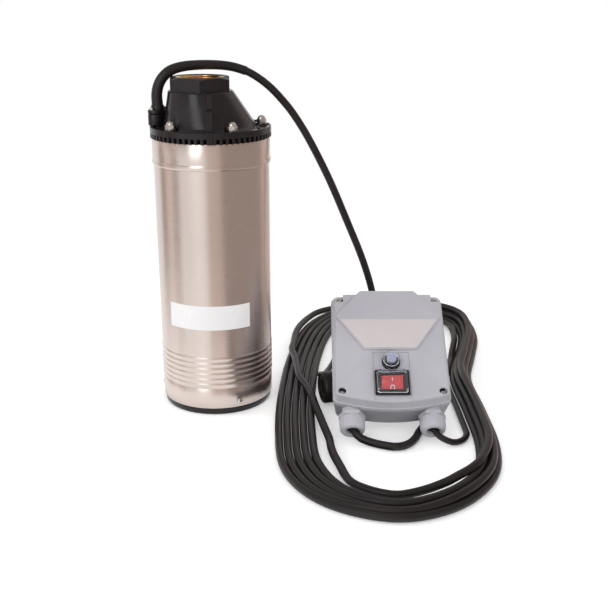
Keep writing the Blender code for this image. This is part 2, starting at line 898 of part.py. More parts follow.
def box_level(inset, t):
    """The outline at height T, INSET in from the box's widest line."""
    half = box_width / 2 - inset
    corner = max(box_corner - inset * 0.5, 2 * mm)
    outline = box_outline(half, inset, box_length - inset, box_bow, corner)
    return [Vector((u, v, t)) for u, v in outline]


def box_frame():
    frame = bpy.data.objects.new("box_frame", None)
    frame.location = box_place
    frame.rotation_euler = (math.radians(box_tilt), 0, 0)
    bpy.context.scene.collection.objects.link(frame)
    return frame


def cover_screws():
    """Each cover screw's place and the height of the seat under its head."""
    low_u, high_u = box_width / 2 - 9.5 * mm, box_width / 2 - 9.0 * mm
    places = []
    for sign in (-1, 1):
        places.append((sign * low_u, 8.5 * mm, box_depth - 6 * mm))
        places.append((sign * high_u, box_length - 9 * mm, box_depth - 4.5 * mm))
    return places


def box_base(frame):
    floor = box_wall
    loops = [
        box_level(box_draft, 0),
        box_level(0, box_parting),
        box_level(box_wall, box_parting),
        box_level(box_wall + box_draft, floor),
    ]
    base = part("box_base", skin(loops), "grey_plastic", frame)
    posts, holes, shanks = bmesh.new(), bmesh.new(), bmesh.new()
    for u, v, _ in cover_screws():
        top = box_parting - 0.5 * mm
        cylinder(4.6 * mm, floor - 1 * mm, top, 12, (u, v), posts)
        cylinder(screw_radius + seat, 8 * mm, box_depth, 10, (u, v), holes)
    pads = bmesh.new()
    for sign in (-1, 1):
        tube(sign, gland_thread + 1.2 * mm, 8 * mm, pad_end(), 20, pads)
        tube(sign, gland_thread + seat, 20 * mm, pad_end() - 5 * mm, 20, shanks)
    tools = [helper("base_posts", posts, frame), helper("gland_pads", pads, frame)]
    cuts = [helper("base_holes", holes, frame), helper("gland_bores", shanks, frame)]
    combine(base, "UNION", *tools)
    combine(base, "DIFFERENCE", *cuts)


def pad_end():
    """V of the flat face that a gland is screwed against."""
    reach = box_width / 2 - box_corner
    return -box_bow * (1 - (gland_reach / reach) ** 2) - gland_pad


def tube(sign, radius, start, end, count, bm):
    """A round bar on a gland's axis, between two values of V."""
    turn = frame_at((sign * gland_reach, start, gland_level), (0, -1, 0))
    loops = [
        [turn @ point for point in circle(radius, z, count)] for z in (0, start - end)
    ]
    return skin(loops, bm)


def box_cover(frame):
    top = box_depth
    inner = box_wall + 1 * mm
    low = box_parting + seat
    loops = [
        box_level(inner + box_draft, top - box_wall),
        box_level(inner, low),
        box_level(0.2 * mm, low),
        box_level(0.2 * mm, low + 3 * mm),
        box_level(1.0 * mm, low + 3.4 * mm),
        box_level(box_draft - 0.6 * mm, top - 1.6 * mm),
        box_level(box_draft + 1 * mm, top),
    ]
    cover = part("box_cover", skin(loops), "grey_plastic", frame)

    posts, drills, wells = bmesh.new(), bmesh.new(), bmesh.new()
    for u, v, rest in cover_screws():
        cylinder(5.4 * mm, low + 0.6 * mm, top - 1 * mm, 12, (u, v), posts)
        cylinder(screw_radius + seat, low - 5 * mm, top + 5 * mm, 10, (u, v), drills)
    for u, v, rest in cover_screws():
        if v < box_length / 2:
            cylinder(4.4 * mm, rest, top + 5 * mm, 12, (u, v), wells)
    steps = bmesh.new()
    for u, v, rest in cover_screws():
        if v > box_length / 2:
            side = 1 if u > 0 else -1
            ends = sorted((u - side * 4.6 * mm, u + side * 20 * mm))
            span = (v - 5 * mm, v + 20 * mm)
            block(ends, span, (rest, top + 8 * mm), steps)

    panel = block(
        (-panel_width / 2, panel_width / 2),
        (-box_bow - 5 * mm, panel_length),
        (top - panel_depth, top + 8 * mm),
    )
    holes = bmesh.new()
    deep = top - 12 * mm
    half_u, half_v = switch_width / 2 - 4 * mm, switch_length / 2 - 4 * mm
    span_v = (switch_centre - half_v, switch_centre + half_v)
    block((-half_u, half_u), span_v, (deep, top + 5 * mm), holes)
    place = (0, button_centre)
    cylinder(button_radius - 1 * mm + seat, deep, top + 5 * mm, 20, place, holes)
    joined = [helper("cover_posts", posts, frame), nameplate(frame)]
    combine(cover, "UNION", *joined)
    cuts = (wells, steps, panel, holes, drills)
    names = ("cover_wells", "corner_steps", "switch_panel", "panel_holes", "drills")
    for name, bm in zip(names, cuts):
        combine(cover, "DIFFERENCE", helper(name, bm, frame))

    for i, (u, v, rest) in enumerate(cover_screws()):
        shank = [circle(screw_radius, z, 10, (u, v)) for z in (14 * mm, rest + seat)]
        head_top = rest + seat + 2.6 * mm
        cap = [circle(screw_head, z, 10, (u, v)) for z in (rest + seat, head_top)]
        name = f"cover_screw_{i + 1}"
        part(name, skin(shank + cap), "bright_steel", frame)


def nameplate(frame):
    """The raised six-sided field on the cover, left plain."""
    top = box_depth + plate_rise
    end = box_length - box_draft - 0.8 * mm
    wide = box_width / 2 - field_inset
    narrow = wide - field_slant
    outline = [
        (-narrow, end),
        (-wide, box_length - field_widest),
        (-narrow, box_length - field_foot),
        (narrow, box_length - field_foot),
        (wide, box_length - field_widest),
        (narrow, end),
    ]
    slope = 0.985
    middle = Vector((0, box_length - field_middle))
    upper = [tuple(middle + (Vector(p) - middle) * slope) for p in outline]
    upper[0] = (upper[0][0], end - 0.4 * mm)
    upper[-1] = (upper[-1][0], end - 0.4 * mm)
    loops = [[Vector((u, v, box_depth - 1 * mm)) for u, v in outline]]
    loops.append([Vector((u, v, top)) for u, v in upper])
    return helper("name_field", skin(loops), frame)


def glands(frame):
    for sign, side in ((-1, "left"), (1, "right")):
        diameter = cable_diameter if sign < 0 else lead_diameter
        bore = diameter / 2 + seat
        face = pad_end() - seat
        place = (sign * gland_reach, face, gland_level)
        turn = frame_at(place, (0, -1, 0))
        neck = gland_thread - 1.2 * mm
        loops = [
            circle(bore, -13 * mm, 12),
            circle(gland_thread, -13 * mm, 12),
            circle(gland_thread, 0, 12),
            hexagon(gland_hex, 0, 12),
            hexagon(gland_hex, gland_hex_length, 12),
            circle(neck, gland_hex_length, 12),
            circle(neck, gland_hex_length + 9 * mm, 12),
            circle(bore, gland_hex_length + 9 * mm, 12),
        ]
        bm = moved(ring_skin(loops), turn)
        part(f"gland_body_{side}", bm, "grey_plastic", frame)

        low = gland_hex_length + seat
        end = low + gland_nut_length
        count = 16
        loops = [
            circle(neck + seat, low, count),
            circle(gland_nut_radius, low, count),
            circle(gland_nut_radius, end - 4 * mm, count),
            circle(gland_nut_radius - 1.6 * mm, end - 0.8 * mm, count),
            circle(gland_nut_radius - 4 * mm, end, count),
            circle(bore + 0.8 * mm, end, count),
            circle(bore, end - 3 * mm, count),
            circle(bore, end - 5 * mm, count),
            circle(neck + seat, end - 5 * mm, count),
        ]
        bm = moved(ring_skin(loops), turn)
        part(f"gland_nut_{side}", bm, "grey_plastic", frame)


def ring_skin(loops):
    """Loops joined in turn and the last to the first, for a solid with a bore."""
    bm = bmesh.new()
    rows = [[bm.verts.new(point) for point in loop] for loop in loops]
    for low, high in zip(rows, rows[1:] + rows[:1]):
        for i, point in enumerate(low):
            j = (i + 1) % len(low)
            bm.faces.new((point, low[j], high[j], high[i]))
    return bm


def gland_exit(sign):
    """Where a cord leaves its gland, and its direction there, in the world."""
    reach = pad_end() - 2 * seat - gland_hex_length - gland_nut_length
    frame = Matrix.Translation(box_place) @ Matrix.Rotation(
        math.radians(box_tilt), 4, "X"
    )
    return frame @ Vector((sign * gland_reach, reach, gland_level))


def switch(frame):
    """The rocker switch: housing, rocker and clear splash cover."""
    deck = box_depth - panel_depth + seat
    half_u, half_v = switch_width / 2, switch_length / 2
    v = switch_centre
    body = block((-half_u, half_u), (v - half_v, v + half_v), (deck, deck + switch_rim))
    housing = part("switch_housing", body, "black_plastic", frame)
    under_u, under_v = half_u - 4 * mm - seat, half_v - 4 * mm - seat
    span = (v - under_v, v + under_v)
    under = block((-under_u, under_u), span, (deck - 24 * mm, deck + 1 * mm))
    room_u, room_v = rocker_width / 2 + run, rocker_length / 2 + run
    span = (v - room_v, v + room_v)
    room = block((-room_u, room_u), span, (deck - 12 * mm, deck + 10 * mm))
    combine(housing, "UNION", helper("switch_body", under, frame))
    combine(housing, "DIFFERENCE", helper("switch_well", room, frame))

    pivot = bpy.data.objects.new("rocker_pivot", None)
    pivot.parent = frame
    pivot.location = (0, v, deck - 3 * mm)
    pivot.rotation_euler = (math.radians(rocker_rest), 0, 0)
    bpy.context.scene.collection.objects.link(pivot)
    half = rocker_width / 2
    long = rocker_length / 2 - 1 * mm
    outline = [
        (-long + 2.5 * mm, -3 * mm),
        (long - 2.5 * mm, -3 * mm),
        (long, 5.5 * mm),
        (long * 0.45, 4.2 * mm),
        (-long * 0.45, 4.2 * mm),
        (-long, 5.5 * mm),
    ]
    loops = [[Vector((u, y, z)) for y, z in outline] for u in (-half, half)]
    part("rocker", skin(loops), "red_plastic", pivot)

    rest = deck + switch_rim + seat
    outer_u, outer_v = half_u - 2 * mm, half_v - 2 * mm
    dome = 7.0 * mm
    wall = 0.9 * mm
    levels = (
        (outer_u - wall - 2.2 * mm, outer_v - wall - 2.2 * mm, dome - wall),
        (outer_u - wall, outer_v - wall, 0),
        (outer_u, outer_v, 0),
        (outer_u, outer_v, 1.5 * mm),
        (outer_u - 2 * mm, outer_v - 2 * mm, dome),
    )
    loops = []
    for a, b, z in levels:
        outline = box_outline(a, v - b, v + b, 0, 2.5 * mm)
        loops.append([Vector((u, w, rest + z)) for u, w in outline])
    part("switch_cap", skin(loops), "clear_plastic", frame)


def reset(frame):
    """The overload cut-out with its push button under a clear cap."""
    deck = box_depth - panel_depth + seat
    place = (0, button_centre)
    neck = button_radius - 1 * mm
    stem = 4.0 * mm
    shift = Matrix.Translation((*place, 0))
    bore = stem + run
    profile = [
        (bore, deck - 18 * mm),
        (neck, deck - 18 * mm),
        (neck, deck),
        (button_radius + 2 * mm, deck),
        (button_radius + 2 * mm, deck + 1.5 * mm),
        (button_radius + 1 * mm, deck + 2.5 * mm),
        (bore, deck + 2.5 * mm),
    ]
    part("cutout_body", moved(turned(profile, 20), shift), "black_plastic", frame)

    low = deck + 2.5 * mm + button_travel + run
    stem_low = deck - 14 * mm
    profile = [
        (0, stem_low),
        (stem, stem_low),
        (stem, low + 1 * mm),
        (stem + 1.5 * mm, low + 1 * mm),
        (stem + 1.5 * mm, low + 5 * mm),
        (0, low + 5.6 * mm),
    ]
    bm = moved(turned(profile, 16, ring=False), shift)
    part("reset_button", bm, "white_plastic", frame)

    wall = 0.9 * mm
    rim = button_radius
    high = low + 7.2 * mm
    profile = [
        (0, high - wall),
        (rim - 1.6 * mm, high - wall),
        (rim - wall, high - 2.4 * mm),
        (rim - wall, low),
        (rim, low),
        (rim, high - 2.0 * mm),
        (rim - 1.2 * mm, high - 0.3 * mm),
        (rim - 2.4 * mm, high),
        (0, high),
    ]
    bm = moved(turned(profile, 20, ring=False), shift)
    part("reset_cap", bm, "clear_plastic", frame)


def capacitor(frame):
    length = capacitor_length / 2
    level = box_wall + seat + capacitor_radius
    turn = frame_at((-length, box_length - capacitor_inset, level), (1, 0, 0))
    loops = [
        circle(capacitor_radius, 0, 14),
        circle(capacitor_radius, capacitor_length - 2 * mm, 14),
        circle(capacitor_radius - 2 * mm, capacitor_length, 14),
    ]
    part("capacitor", moved(skin(loops), turn), "white_plastic", frame)


# Cords


def smooth(points, spacing):
    """Evenly spaced points on a smooth curve through POINTS."""
    fine = []
    ends = [points[0] * 2 - points[1], *points, points[-1] * 2 - points[-2]]
    for p0, p1, p2, p3 in zip(ends, ends[1:], ends[2:], ends[3:]):
        for i in range(24):
            t = i / 24
            line = p1 * 2 + (p2 - p0) * t + (p0 * 2 - p1 * 5 + p2 * 4 - p3) * t * t
            fine.append((line + (p1 * 3 - p0 - p2 * 3 + p3) * t**3) * 0.5)
    fine.append(points[-1])
    total = sum((b - a).length for a, b in zip(fine, fine[1:]))
    count = max(2, round(total / spacing))
    step = total / count
    out, run_length = [fine[0]], 0.0
    for a, b in zip(fine, fine[1:]):
        size = (b - a).length
        while len(out) < count and run_length + size >= step * len(out):
            share = (step * len(out) - run_length) / size
            out.append(a.lerp(b, share))
        run_length += size
    return out + [fine[-1]]


def cord(name, points, diameter):
    """A free cord's tube through hand-placed points."""
    curve = bpy.data.curves.new(name, "CURVE")
    curve.dimensions = "3D"
    route = smooth([Vector(point) for point in points], diameter * cord_spacing)
    spline = curve.splines.new("POLY")
    spline.points.add(len(route) - 1)
    for slot, point in zip(spline.points, route):
        slot.co = (*point, 1.0)
    curve.bevel_depth = diameter / 2
    curve.bevel_resolution = 2
    curve.use_fill_caps = True
    curve.materials.append(materials["rubber"])
    obj = bpy.data.objects.new(name, curve)
    bpy.context.scene.collection.objects.link(obj)


# Middle line of the coil on the floor, clockwise from its near end, and half its width
coil_route = (
    (0.185, -0.280, 0.0180),
    (0.240, -0.262, 0.0180),
    (0.279, -0.215, 0.0160),
    (0.294, -0.150, 0.0150),
    (0.295, -0.060, 0.0145),
    (0.294, 0.030, 0.0145),
    (0.311, 0.105, 0.0150),
    (0.327, 0.180, 0.0160),
    (0.324, 0.245, 0.0165),
    (0.286, 0.295, 0.0175),
    (0.225, 0.308, 0.0180),
    (0.165, 0.285, 0.0190),
    (0.124, 0.215, 0.0200),
    (0.103, 0.110, 0.0220),
    (0.0935, -0.010, 0.0235),
    (0.0925, -0.110, 0.0240),
    (0.100, -0.195, 0.0230),
    (0.131, -0.253, 0.0200),
)


def coil():
    """The coil of motor cable: one solid of its outer shape."""
    count = len(coil_route)
    rows = []
    for i in range(count):
        before, here = coil_route[i - 1], coil_route[i]
        after, further = coil_route[(i + 1) % count], coil_route[(i + 2) % count]
        for t in (0.0, 0.5):
            values = []
            for a, b, c, d in zip(before, here, after, further):
                value = 2 * b + (c - a) * t + (2 * a - 5 * b + 4 * c - d) * t * t
                values.append(0.5 * (value + (3 * b - a - 3 * c + d) * t**3))
            rows.append(values)
    loops = []
    for i, (x, y, half) in enumerate(rows):
        after, before = rows[(i + 1) % len(rows)], rows[i - 1]
        along = Vector((after[0] - before[0], after[1] - before[1])).normalized()
        out = Vector((along.y, -along.x, 0))
        edge = coil_height / 2
        section = [(-half + edge * 0.5, 0), (half - edge * 0.5, 0)]
        section += [(half, edge * 0.6), (half, coil_height - edge * 0.8)]
        section += [(half - edge * 0.6, coil_height), (-half + edge * 0.6, coil_height)]
        section += [(-half, coil_height - edge * 0.8), (-half, edge * 0.6)]
        centre = Vector((x, y, 0))
        loops.append([centre + out * a + Vector((0, 0, z)) for a, z in section])
    part("cable_coil", ring_skin(loops), "rubber")


def cords():
    entry_exit = entry_top + seat + boot_height + 1.3 * mm
    level = cable_diameter / 2 + 0.1 * mm
    on_coil = coil_height + seat + cable_diameter / 2 + 0.2 * mm
    arch = [
        (entry_x, 0.0, entry_exit),
        (-0.0540, 0.0005, 0.3715),
        (-0.0475, 0.0030, 0.3785),
        (-0.0345, 0.0090, 0.3825),
        (-0.0166, 0.0175, 0.3835),
        (0.0050, 0.0265, 0.3825),
        (0.0224, 0.0316, 0.3795),
        (0.0400, 0.0355, 0.3730),
        (0.0560, 0.0385, 0.3615),
        (0.0720, 0.0415, 0.3470),
        (0.0900, 0.0450, 0.3265),
        (0.1080, 0.0485, 0.2970),
        (0.1316, 0.0541, 0.2477),
        (0.1540, 0.0590, 0.1950),
        (0.1722, 0.0640, 0.1500),
        (0.1850, 0.0700, 0.1090),
        (0.1925, 0.0800, 0.0690),
        (0.1980, 0.0990, 0.0370),
        (0.2030, 0.1270, 0.0160),
        (0.2080, 0.1600, level + 0.001),
        (0.2120, 0.1950, level),
        (0.2150, 0.2300, 0.0075),
        (0.2180, 0.2600, 0.0160),
        (0.2230, 0.2860, on_coil),
        (0.2380, 0.3050, on_coil),
        (0.2620, 0.3080, on_coil),
    ]
    cord("motor_cable", arch, cable_diameter)
    coil()

    start = gland_exit(-1)
    tail = [
        start,
        start + Vector((0.0012, -0.0075, -0.0045)),
        (0.1600, -0.1500, level),
        (0.1740, -0.1570, level),
        (0.1900, -0.1560, level),
        (0.2040, -0.1480, level),
        (0.2110, -0.1330, level),
        (0.2150, -0.1180, level),
        (0.2250, -0.1065, level),
        (0.2400, -0.1040, level),
        (0.2580, -0.1035, level),
        (0.2735, -0.1010, level),
    ]
    cord("motor_cable_tail", tail, cable_diameter)

    start = gland_exit(1)
    level = lead_diameter / 2 + 0.1 * mm
    lead = [
        start,
        start + Vector((0.0020, -0.0070, -0.0042)),
        (0.2480, -0.1500, level),
        (0.2600, -0.1500, level),
        (0.2710, -0.1420, level),
        (0.2765, -0.1300, level),
    ]
    cord("mains_lead", lead, lead_diameter)


def plug():
    """A round two-pin plug on its side: its cord leaves at the rim."""
    turn = math.radians(plug_turn)
    axis = Vector((math.cos(turn), math.sin(turn), 0))
    place = Vector((*plug_place, plug_radius + 0.05 * mm))
    frame = frame_at(place, axis)
    profile = [
        (0, 1.2 * mm),
        (plug_radius - 3.5 * mm, 1.2 * mm),
        (plug_radius - 3.0 * mm, 0),
        (plug_radius - 1.6 * mm, 0),
        (plug_radius, 2.5 * mm),
        (plug_radius, plug_length - 6 * mm),
        (plug_radius - 1.2 * mm, plug_length - 5 * mm),
        (plug_radius - 1.2 * mm, plug_length),
        (0, plug_length),
    ]
    body = part("plug", moved(turned(profile, 24, ring=False), frame), "rubber")
    pins = bmesh.new()
    for sign in (-1, 1):
        place = (0, sign * pin_spacing / 2)
        loops = [
            circle(pin_radius, plug_length - 3 * mm, 10, place),
            circle(pin_radius, plug_length + pin_length - 1.5 * mm, 10, place),
            circle(pin_radius * 0.5, plug_length + pin_length, 10, place),
        ]
        skin(loops, pins)
    combine(body, "UNION", helper("plug_pins", moved(pins, frame)))
    return frame


def mains_tail(frame):
    """The lead from the plug's rim back to the coil, behind the box."""
    turn = math.radians(plug_turn)
    side = Vector((-math.sin(turn), math.cos(turn), 0))
    level = lead_diameter / 2 + 0.1 * mm
    middle = frame @ Vector((0, 0, plug_length * 0.45))
    start = middle + side * (plug_radius + 0.5 * mm)
    route = [
        start,
        start + side * 0.008,
        start + side * 0.018 + Vector((0, 0, -0.0012)),
        (start.x - 0.0055, start.y + 0.034, start.z - 0.0085),
        (start.x - 0.001, start.y + 0.054, level + 0.0006),
        (0.1380, 0.0850, level),
        (0.1450, 0.1250, level),
        (0.1510, 0.1700, level),
        (0.1590, 0.2100, level),
        (0.1680, 0.2360, level),
        (0.1790, 0.2540, level),
        (0.1900, 0.2650, level),
    ]
    cord("mains_tail", route, lead_diameter)


def main():
    clear_scene()
    make_materials()
    barrel()
    intake_ring()
    head()
    motor()
    rotor()
    stages()
    frame = box_frame()
    box_base(frame)
    box_cover(frame)
    glands(frame)
    switch(frame)
    reset(frame)
    capacitor(frame)
    cords()
    mains_tail(plug())


main()
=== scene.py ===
import math

import bmesh
import bpy
from mathutils import Matrix, Vector


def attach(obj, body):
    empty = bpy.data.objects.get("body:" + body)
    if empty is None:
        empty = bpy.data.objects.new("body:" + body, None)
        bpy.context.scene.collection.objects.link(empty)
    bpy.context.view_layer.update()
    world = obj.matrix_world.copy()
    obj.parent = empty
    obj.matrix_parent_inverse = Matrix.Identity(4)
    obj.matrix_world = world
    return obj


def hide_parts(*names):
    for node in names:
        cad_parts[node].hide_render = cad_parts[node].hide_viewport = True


# Borehole pump, its cable and its control box. Rigid shapes are drawn in millimetres and
# meshFrom turns them into metres. Cords, lamps and cards are in metres. The pump's foot
# is at the origin.

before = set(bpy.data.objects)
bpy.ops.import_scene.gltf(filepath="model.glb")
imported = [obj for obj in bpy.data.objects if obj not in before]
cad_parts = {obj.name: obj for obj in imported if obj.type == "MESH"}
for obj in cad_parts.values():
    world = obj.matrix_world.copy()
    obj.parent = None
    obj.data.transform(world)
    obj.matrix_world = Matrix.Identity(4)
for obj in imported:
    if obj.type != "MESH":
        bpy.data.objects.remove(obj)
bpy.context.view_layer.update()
mm = 0.001
pumpBody = "pump_and_box"

cameraView = {"place": (0.102, -1.048, 0.456), "lookDown": 18.17, "lens": 56.25, "sensor": 36.0}

studio = {
    "ambient": 0.72,
    "floorTone": 0.85,
    "floorGlow": 0.34,
    "floorHalf": 6.0,
    "floorHeight": -0.0003,
    "floorMiddle": (0.12, 0.02, 0.0),
    "floorFade": (0.36, 0.85),
    "overhead": 0.42,
}

# lamps: place, aim, size, watts, seen in reflections
sceneMiddle = (0.1, 0.0, 0.15)
lamps = {
    "keyBox": ((-0.71, -1.43, 1.2), (0.0, 0.0, 0.3), (0.62, 1.5), 7.6, True),
    "fillBox": ((0.9, -1.6, 0.4), sceneMiddle, (1.2, 0.7), 6.5, False),
    "rimBox": ((0.6, 1.5, 1.2), sceneMiddle, (1.2, 0.8), 4.0, False),
    "sideBox": ((-1.25, -0.1, 0.75), (0.0, 0.0, 0.34), (0.35, 0.5), 5.0, True),
    "topBox": ((0.15, -0.5, 1.9), sceneMiddle, (1.6, 1.6), 1.5, False),
}

# plain warm-grey cards round the barrel that only reflections see: degrees round from
# the front, tone, where the strip on the floor begins and ends, how high it stands there
cardTint = (1.0, 0.83, 0.76)
cardTones = {"dark": 0.06, "middle": 0.42, "light": 0.72}
cardLift = 0.0004
flags = [
    (-118, -100, "middle", 0.62, 0.65, 1.3),
    (-100, -84, "light", 0.62, 0.65, 1.3),
    (-84, -67, "middle", 0.62, 0.65, 1.3),
    (-12, 16, "light", 0.30, 0.60, 1.3),
    (16, 108, "middle", 0.40, 0.60, 1.3),
    (108, 150, "light", 0.40, 0.60, 1.3),
    # painted reflection: this dark strip lies flat on the floor, is seen only in reflections, and darkens
    # the barrel's lower right to stand in for the black coil's reflection
    (26, 116, "dark", 0.085, 0.25, 0.0008),
]

boxPlace = {"origin": (0.1966, -0.0965, 0.0101), "tilt": 35.0}
boxLean = Matrix.Rotation(math.radians(boxPlace["tilt"]), 4, "X")
boxMatrix = Matrix.Translation(boxPlace["origin"]) @ boxLean

pump = {
    "shellRadius": 63.5,
    "shellBottom": 8.0,
    "shellTop": 306.2,
    "ringRadius": 66.2,
    "ringBottom": 306.5,
    "ringCrown": 311.7,
    "lipTop": 318.1,
    "flangeTop": 316.8,
    "coneTop": 355.8,
    "hexTop": 370.3,
    "outletX": -10.2,
    "boltCircle": 56.0,
    "boltFirst": 28.8,
    "bossTop": 318.6,
    "entryX": -57.2,
    "entryTop": 330.3,
    "entryTurn": 52.0,
}

box = {
    "half": 63.5,
    "length": 141.0,
    "depth": 46.5,
    "parting": 32.0,
    "draft": 3.6,
    "bow": 8.0,
    "corner": 7.0,
    "wall": 2.6,
    "glandU": 43.0,
    "glandT": 21.0,
    "padEnd": -6.366,
    "soft": 0.35,
    "fieldRise": 2.6,
}


# small makers


def linkObject(name, data):
    made = bpy.data.objects.new(name, data)
    bpy.context.scene.collection.objects.link(made)
    return made


def shadeSoftly(mesh, sharp):
    mesh.shade_smooth()
    mesh.set_sharp_from_angle(angle=math.radians(sharp))


def meshFrom(bm, name, sharp=35, matrix=None, unit=mm):
    bmesh.ops.scale(bm, vec=(unit, unit, unit), verts=bm.verts)
    if matrix is not None:
        bmesh.ops.transform(bm, matrix=matrix, verts=bm.verts)
    bmesh.ops.recalc_face_normals(bm, faces=bm.faces)
    mesh = bpy.data.meshes.new(name)
    bm.to_mesh(mesh)
    bm.free()
    shadeSoftly(mesh, sharp)
    return mesh


def finishPiece(obj, material, replaced=(), body=pumpBody):
    obj.data.materials.clear()
    obj.data.materials.append(material)
    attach(obj, body)
    if replaced:
        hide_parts(*replaced)
    return obj


def addPiece(name, bm, material, replaced=(), sharp=35, matrix=None, body=pumpBody):
    made = linkObject(name, meshFrom(bm, name, sharp, matrix))
    return finishPiece(made, material, replaced, body)


def numbered(name, count):
    return tuple(f"{name}_{i + 1}" for i in range(count))


def ringOf(radius, z, count, centre=(0.0, 0.0), start=0.0):
    loop = []
    for i in range(count):
        angle = start + math.tau * i / count
        x = centre[0] + radius * math.cos(angle)
        loop.append(Vector((x, centre[1] + radius * math.sin(angle), z)))
    return loop


def hexLoop(across, z, count, cap=1000.0, limit=0.0, slope=0.0, shrink=0.0, centre=(0, 0), start=0.0):
    # hexagon with its corners cut to a circle, turned down or up beyond the limit
    loop = []
    for i in range(count):
        angle = math.tau * i / count
        radius = across / 2 / math.cos((angle % math.radians(60)) - math.radians(30))
        radius = min(radius, cap) - shrink
        height = z + max(0.0, radius - limit) * slope
        x = centre[0] + radius * math.cos(angle + start)
        loop.append(Vector((x, centre[1] + radius * math.sin(angle + start), height)))
    return loop


def joinLoops(bm, loops, closedTube=False):
    rows = [[bm.verts.new(point) for point in loop] for loop in loops]
    pairs = list(zip(rows, rows[1:]))
    if closedTube:
        pairs.append((rows[-1], rows[0]))
    for low, high in pairs:
        for i, corner in enumerate(low):
            j = (i + 1) % len(low)
            bm.faces.new((corner, low[j], high[j], high[i]))
    if not closedTube:
        bm.faces.new(rows[0][::-1])
        bm.faces.new(rows[-1])


def addTo(bm, other, matrix=None):
    if matrix is not None:
        bmesh.ops.transform(other, matrix=matrix, verts=other.verts)
    mesh = bpy.data.meshes.new("part")
    other.to_mesh(mesh)
    other.free()
    bm.from_mesh(mesh)
    bpy.data.meshes.remove(mesh)


def turnedInto(bm, profile, count, closedProfile=True, matrix=None):
    made = bmesh.new()
    joinLoops(made, [ringOf(r, z, count) for r, z in profile], closedProfile)
    addTo(bm, made, matrix)


def rounded(corners, radius, steps=4):
    points = []
    count = len(corners)
    for i in range(count):
        here = Vector(corners[i])
        before = Vector(corners[i - 1]) - here
        after = Vector(corners[(i + 1) % count]) - here
        reach = min(radius, before.length * 0.45, after.length * 0.45)
        a = here + before.normalized() * reach
        b = here + after.normalized() * reach
        for k in range(steps + 1):
            t = k / steps
            point = a * (1 - t) ** 2 + here * 2 * t * (1 - t) + b * t * t
            points.append(tuple(point))
    return points


def rect(u0, u1, v0, v1, radius=0.0, steps=4):
    corners = [(u0, v0), (u1, v0), (u1, v1), (u0, v1)]
    return rounded(corners, radius, steps) if radius else corners


def drawnIn(outline, centre, inset):
    middle = Vector(centre)
    drawn = []
    for point in outline:
        away = Vector(point) - middle
        drawn.append(middle + away * (1 - inset / away.length))
    return drawn


def prismInto(bm, outline, low, high, edge=0.0, matrix=None):
    centre = sum((Vector(p) for p in outline), Vector((0, 0))) / len(outline)
    levels = [(0, low), (0, high)]
    if edge:
        levels = [(edge, low), (0, low + edge), (0, high - edge)]
        levels += [(edge * 0.3, high - edge * 0.3), (edge, high)]
    made = bmesh.new()
    joinLoops(made, [[Vector((*p, z)) for p in drawnIn(outline, centre, a)] for a, z in levels])
    addTo(bm, made, matrix)


def slabAcross(bm, outline, centre, half, step, matrix, flip=1):
    # plate across X with softened sides: its outline is in Y and Z
    made = bmesh.new()
    sides = ((-half, 0.5), (-half + step, 0.0), (half - step, 0.0), (half, 0.5))
    loops = []
    for x, inset in sides:
        loops.append([Vector((x, flip * p.x, p.y)) for p in drawnIn(outline, centre, inset)])
    joinLoops(made, loops)
    addTo(bm, made, matrix)


def atAngle(angle, radius):
    turn = math.radians(angle)
    return (radius * math.sin(turn), -radius * math.cos(turn))


def frameAt(place, direction):
    turn = Vector(direction).to_track_quat("Z", "Y").to_matrix().to_4x4()
    return Matrix.Translation(place) @ turn


def catmull(points, perStretch):
    fine = []
    ends = [points[0] * 2 - points[1], *points, points[-1] * 2 - points[-2]]
    for p0, p1, p2, p3 in zip(ends, ends[1:], ends[2:], ends[3:]):
        for i in range(perStretch):
            t = i / perStretch
            line = p1 * 2 + (p2 - p0) * t + (p0 * 2 - p1 * 5 + p2 * 4 - p3) * t * t
            fine.append((line + (p1 * 3 - p0 - p2 * 3 + p3) * t**3) * 0.5)
    fine.append(points[-1])
    return fine


def lengthOf(points):
    return sum((b - a).length for a, b in zip(points, points[1:]))


def evenly(points, spacing):
    total = lengthOf(points)
    count = max(2, round(total / spacing))
    step = total / count
    out, passed = [points[0]], 0.0
    for a, b in zip(points, points[1:]):
        size = (b - a).length
        while len(out) < count and passed + size >= step * len(out):
            out.append(a.lerp(b, (step * len(out) - passed) / size))
        passed += size
    return out + [points[-1]]


# materials


def newMaterial(name, colour, roughness, metallic=0.0, **sockets):
    material = bpy.data.materials.new(name)
    material.use_nodes = True
    shader = material.node_tree.nodes["Principled BSDF"]
    shader.inputs["Base Color"].default_value = (*colour, 1.0)
    shader.inputs["Roughness"].default_value = roughness
    shader.inputs["Metallic"].default_value = metallic
    for socket, value in sockets.items():
        shader.inputs[socket.replace("_", " ")].default_value = value
    material.diffuse_color = (*colour, 1.0)
    return material, material.node_tree, shader


def noiseOn(tree, scale, detail=4.0, roughness=0.55, stretch=(1, 1, 1)):
    coords = tree.nodes.new("ShaderNodeTexCoord")
    mapping = tree.nodes.new("ShaderNodeMapping")
    mapping.inputs["Scale"].default_value = stretch
    noise = tree.nodes.new("ShaderNodeTexNoise")
    noise.inputs["Scale"].default_value = scale
    noise.inputs["Detail"].default_value = detail
    noise.inputs["Roughness"].default_value = roughness
    tree.links.new(coords.outputs["Object"], mapping.inputs["Vector"])
    tree.links.new(mapping.outputs["Vector"], noise.inputs["Vector"])
    return noise.outputs["Fac"]


def spread(tree, source, low, high, fromLow=0.3, fromHigh=0.7):
    ranged = tree.nodes.new("ShaderNodeMapRange")
    ranged.inputs["From Min"].default_value = fromLow
    ranged.inputs["From Max"].default_value = fromHigh
    ranged.inputs["To Min"].default_value = low
    ranged.inputs["To Max"].default_value = high
    tree.links.new(source, ranged.inputs["Value"])
    return ranged.outputs["Result"]


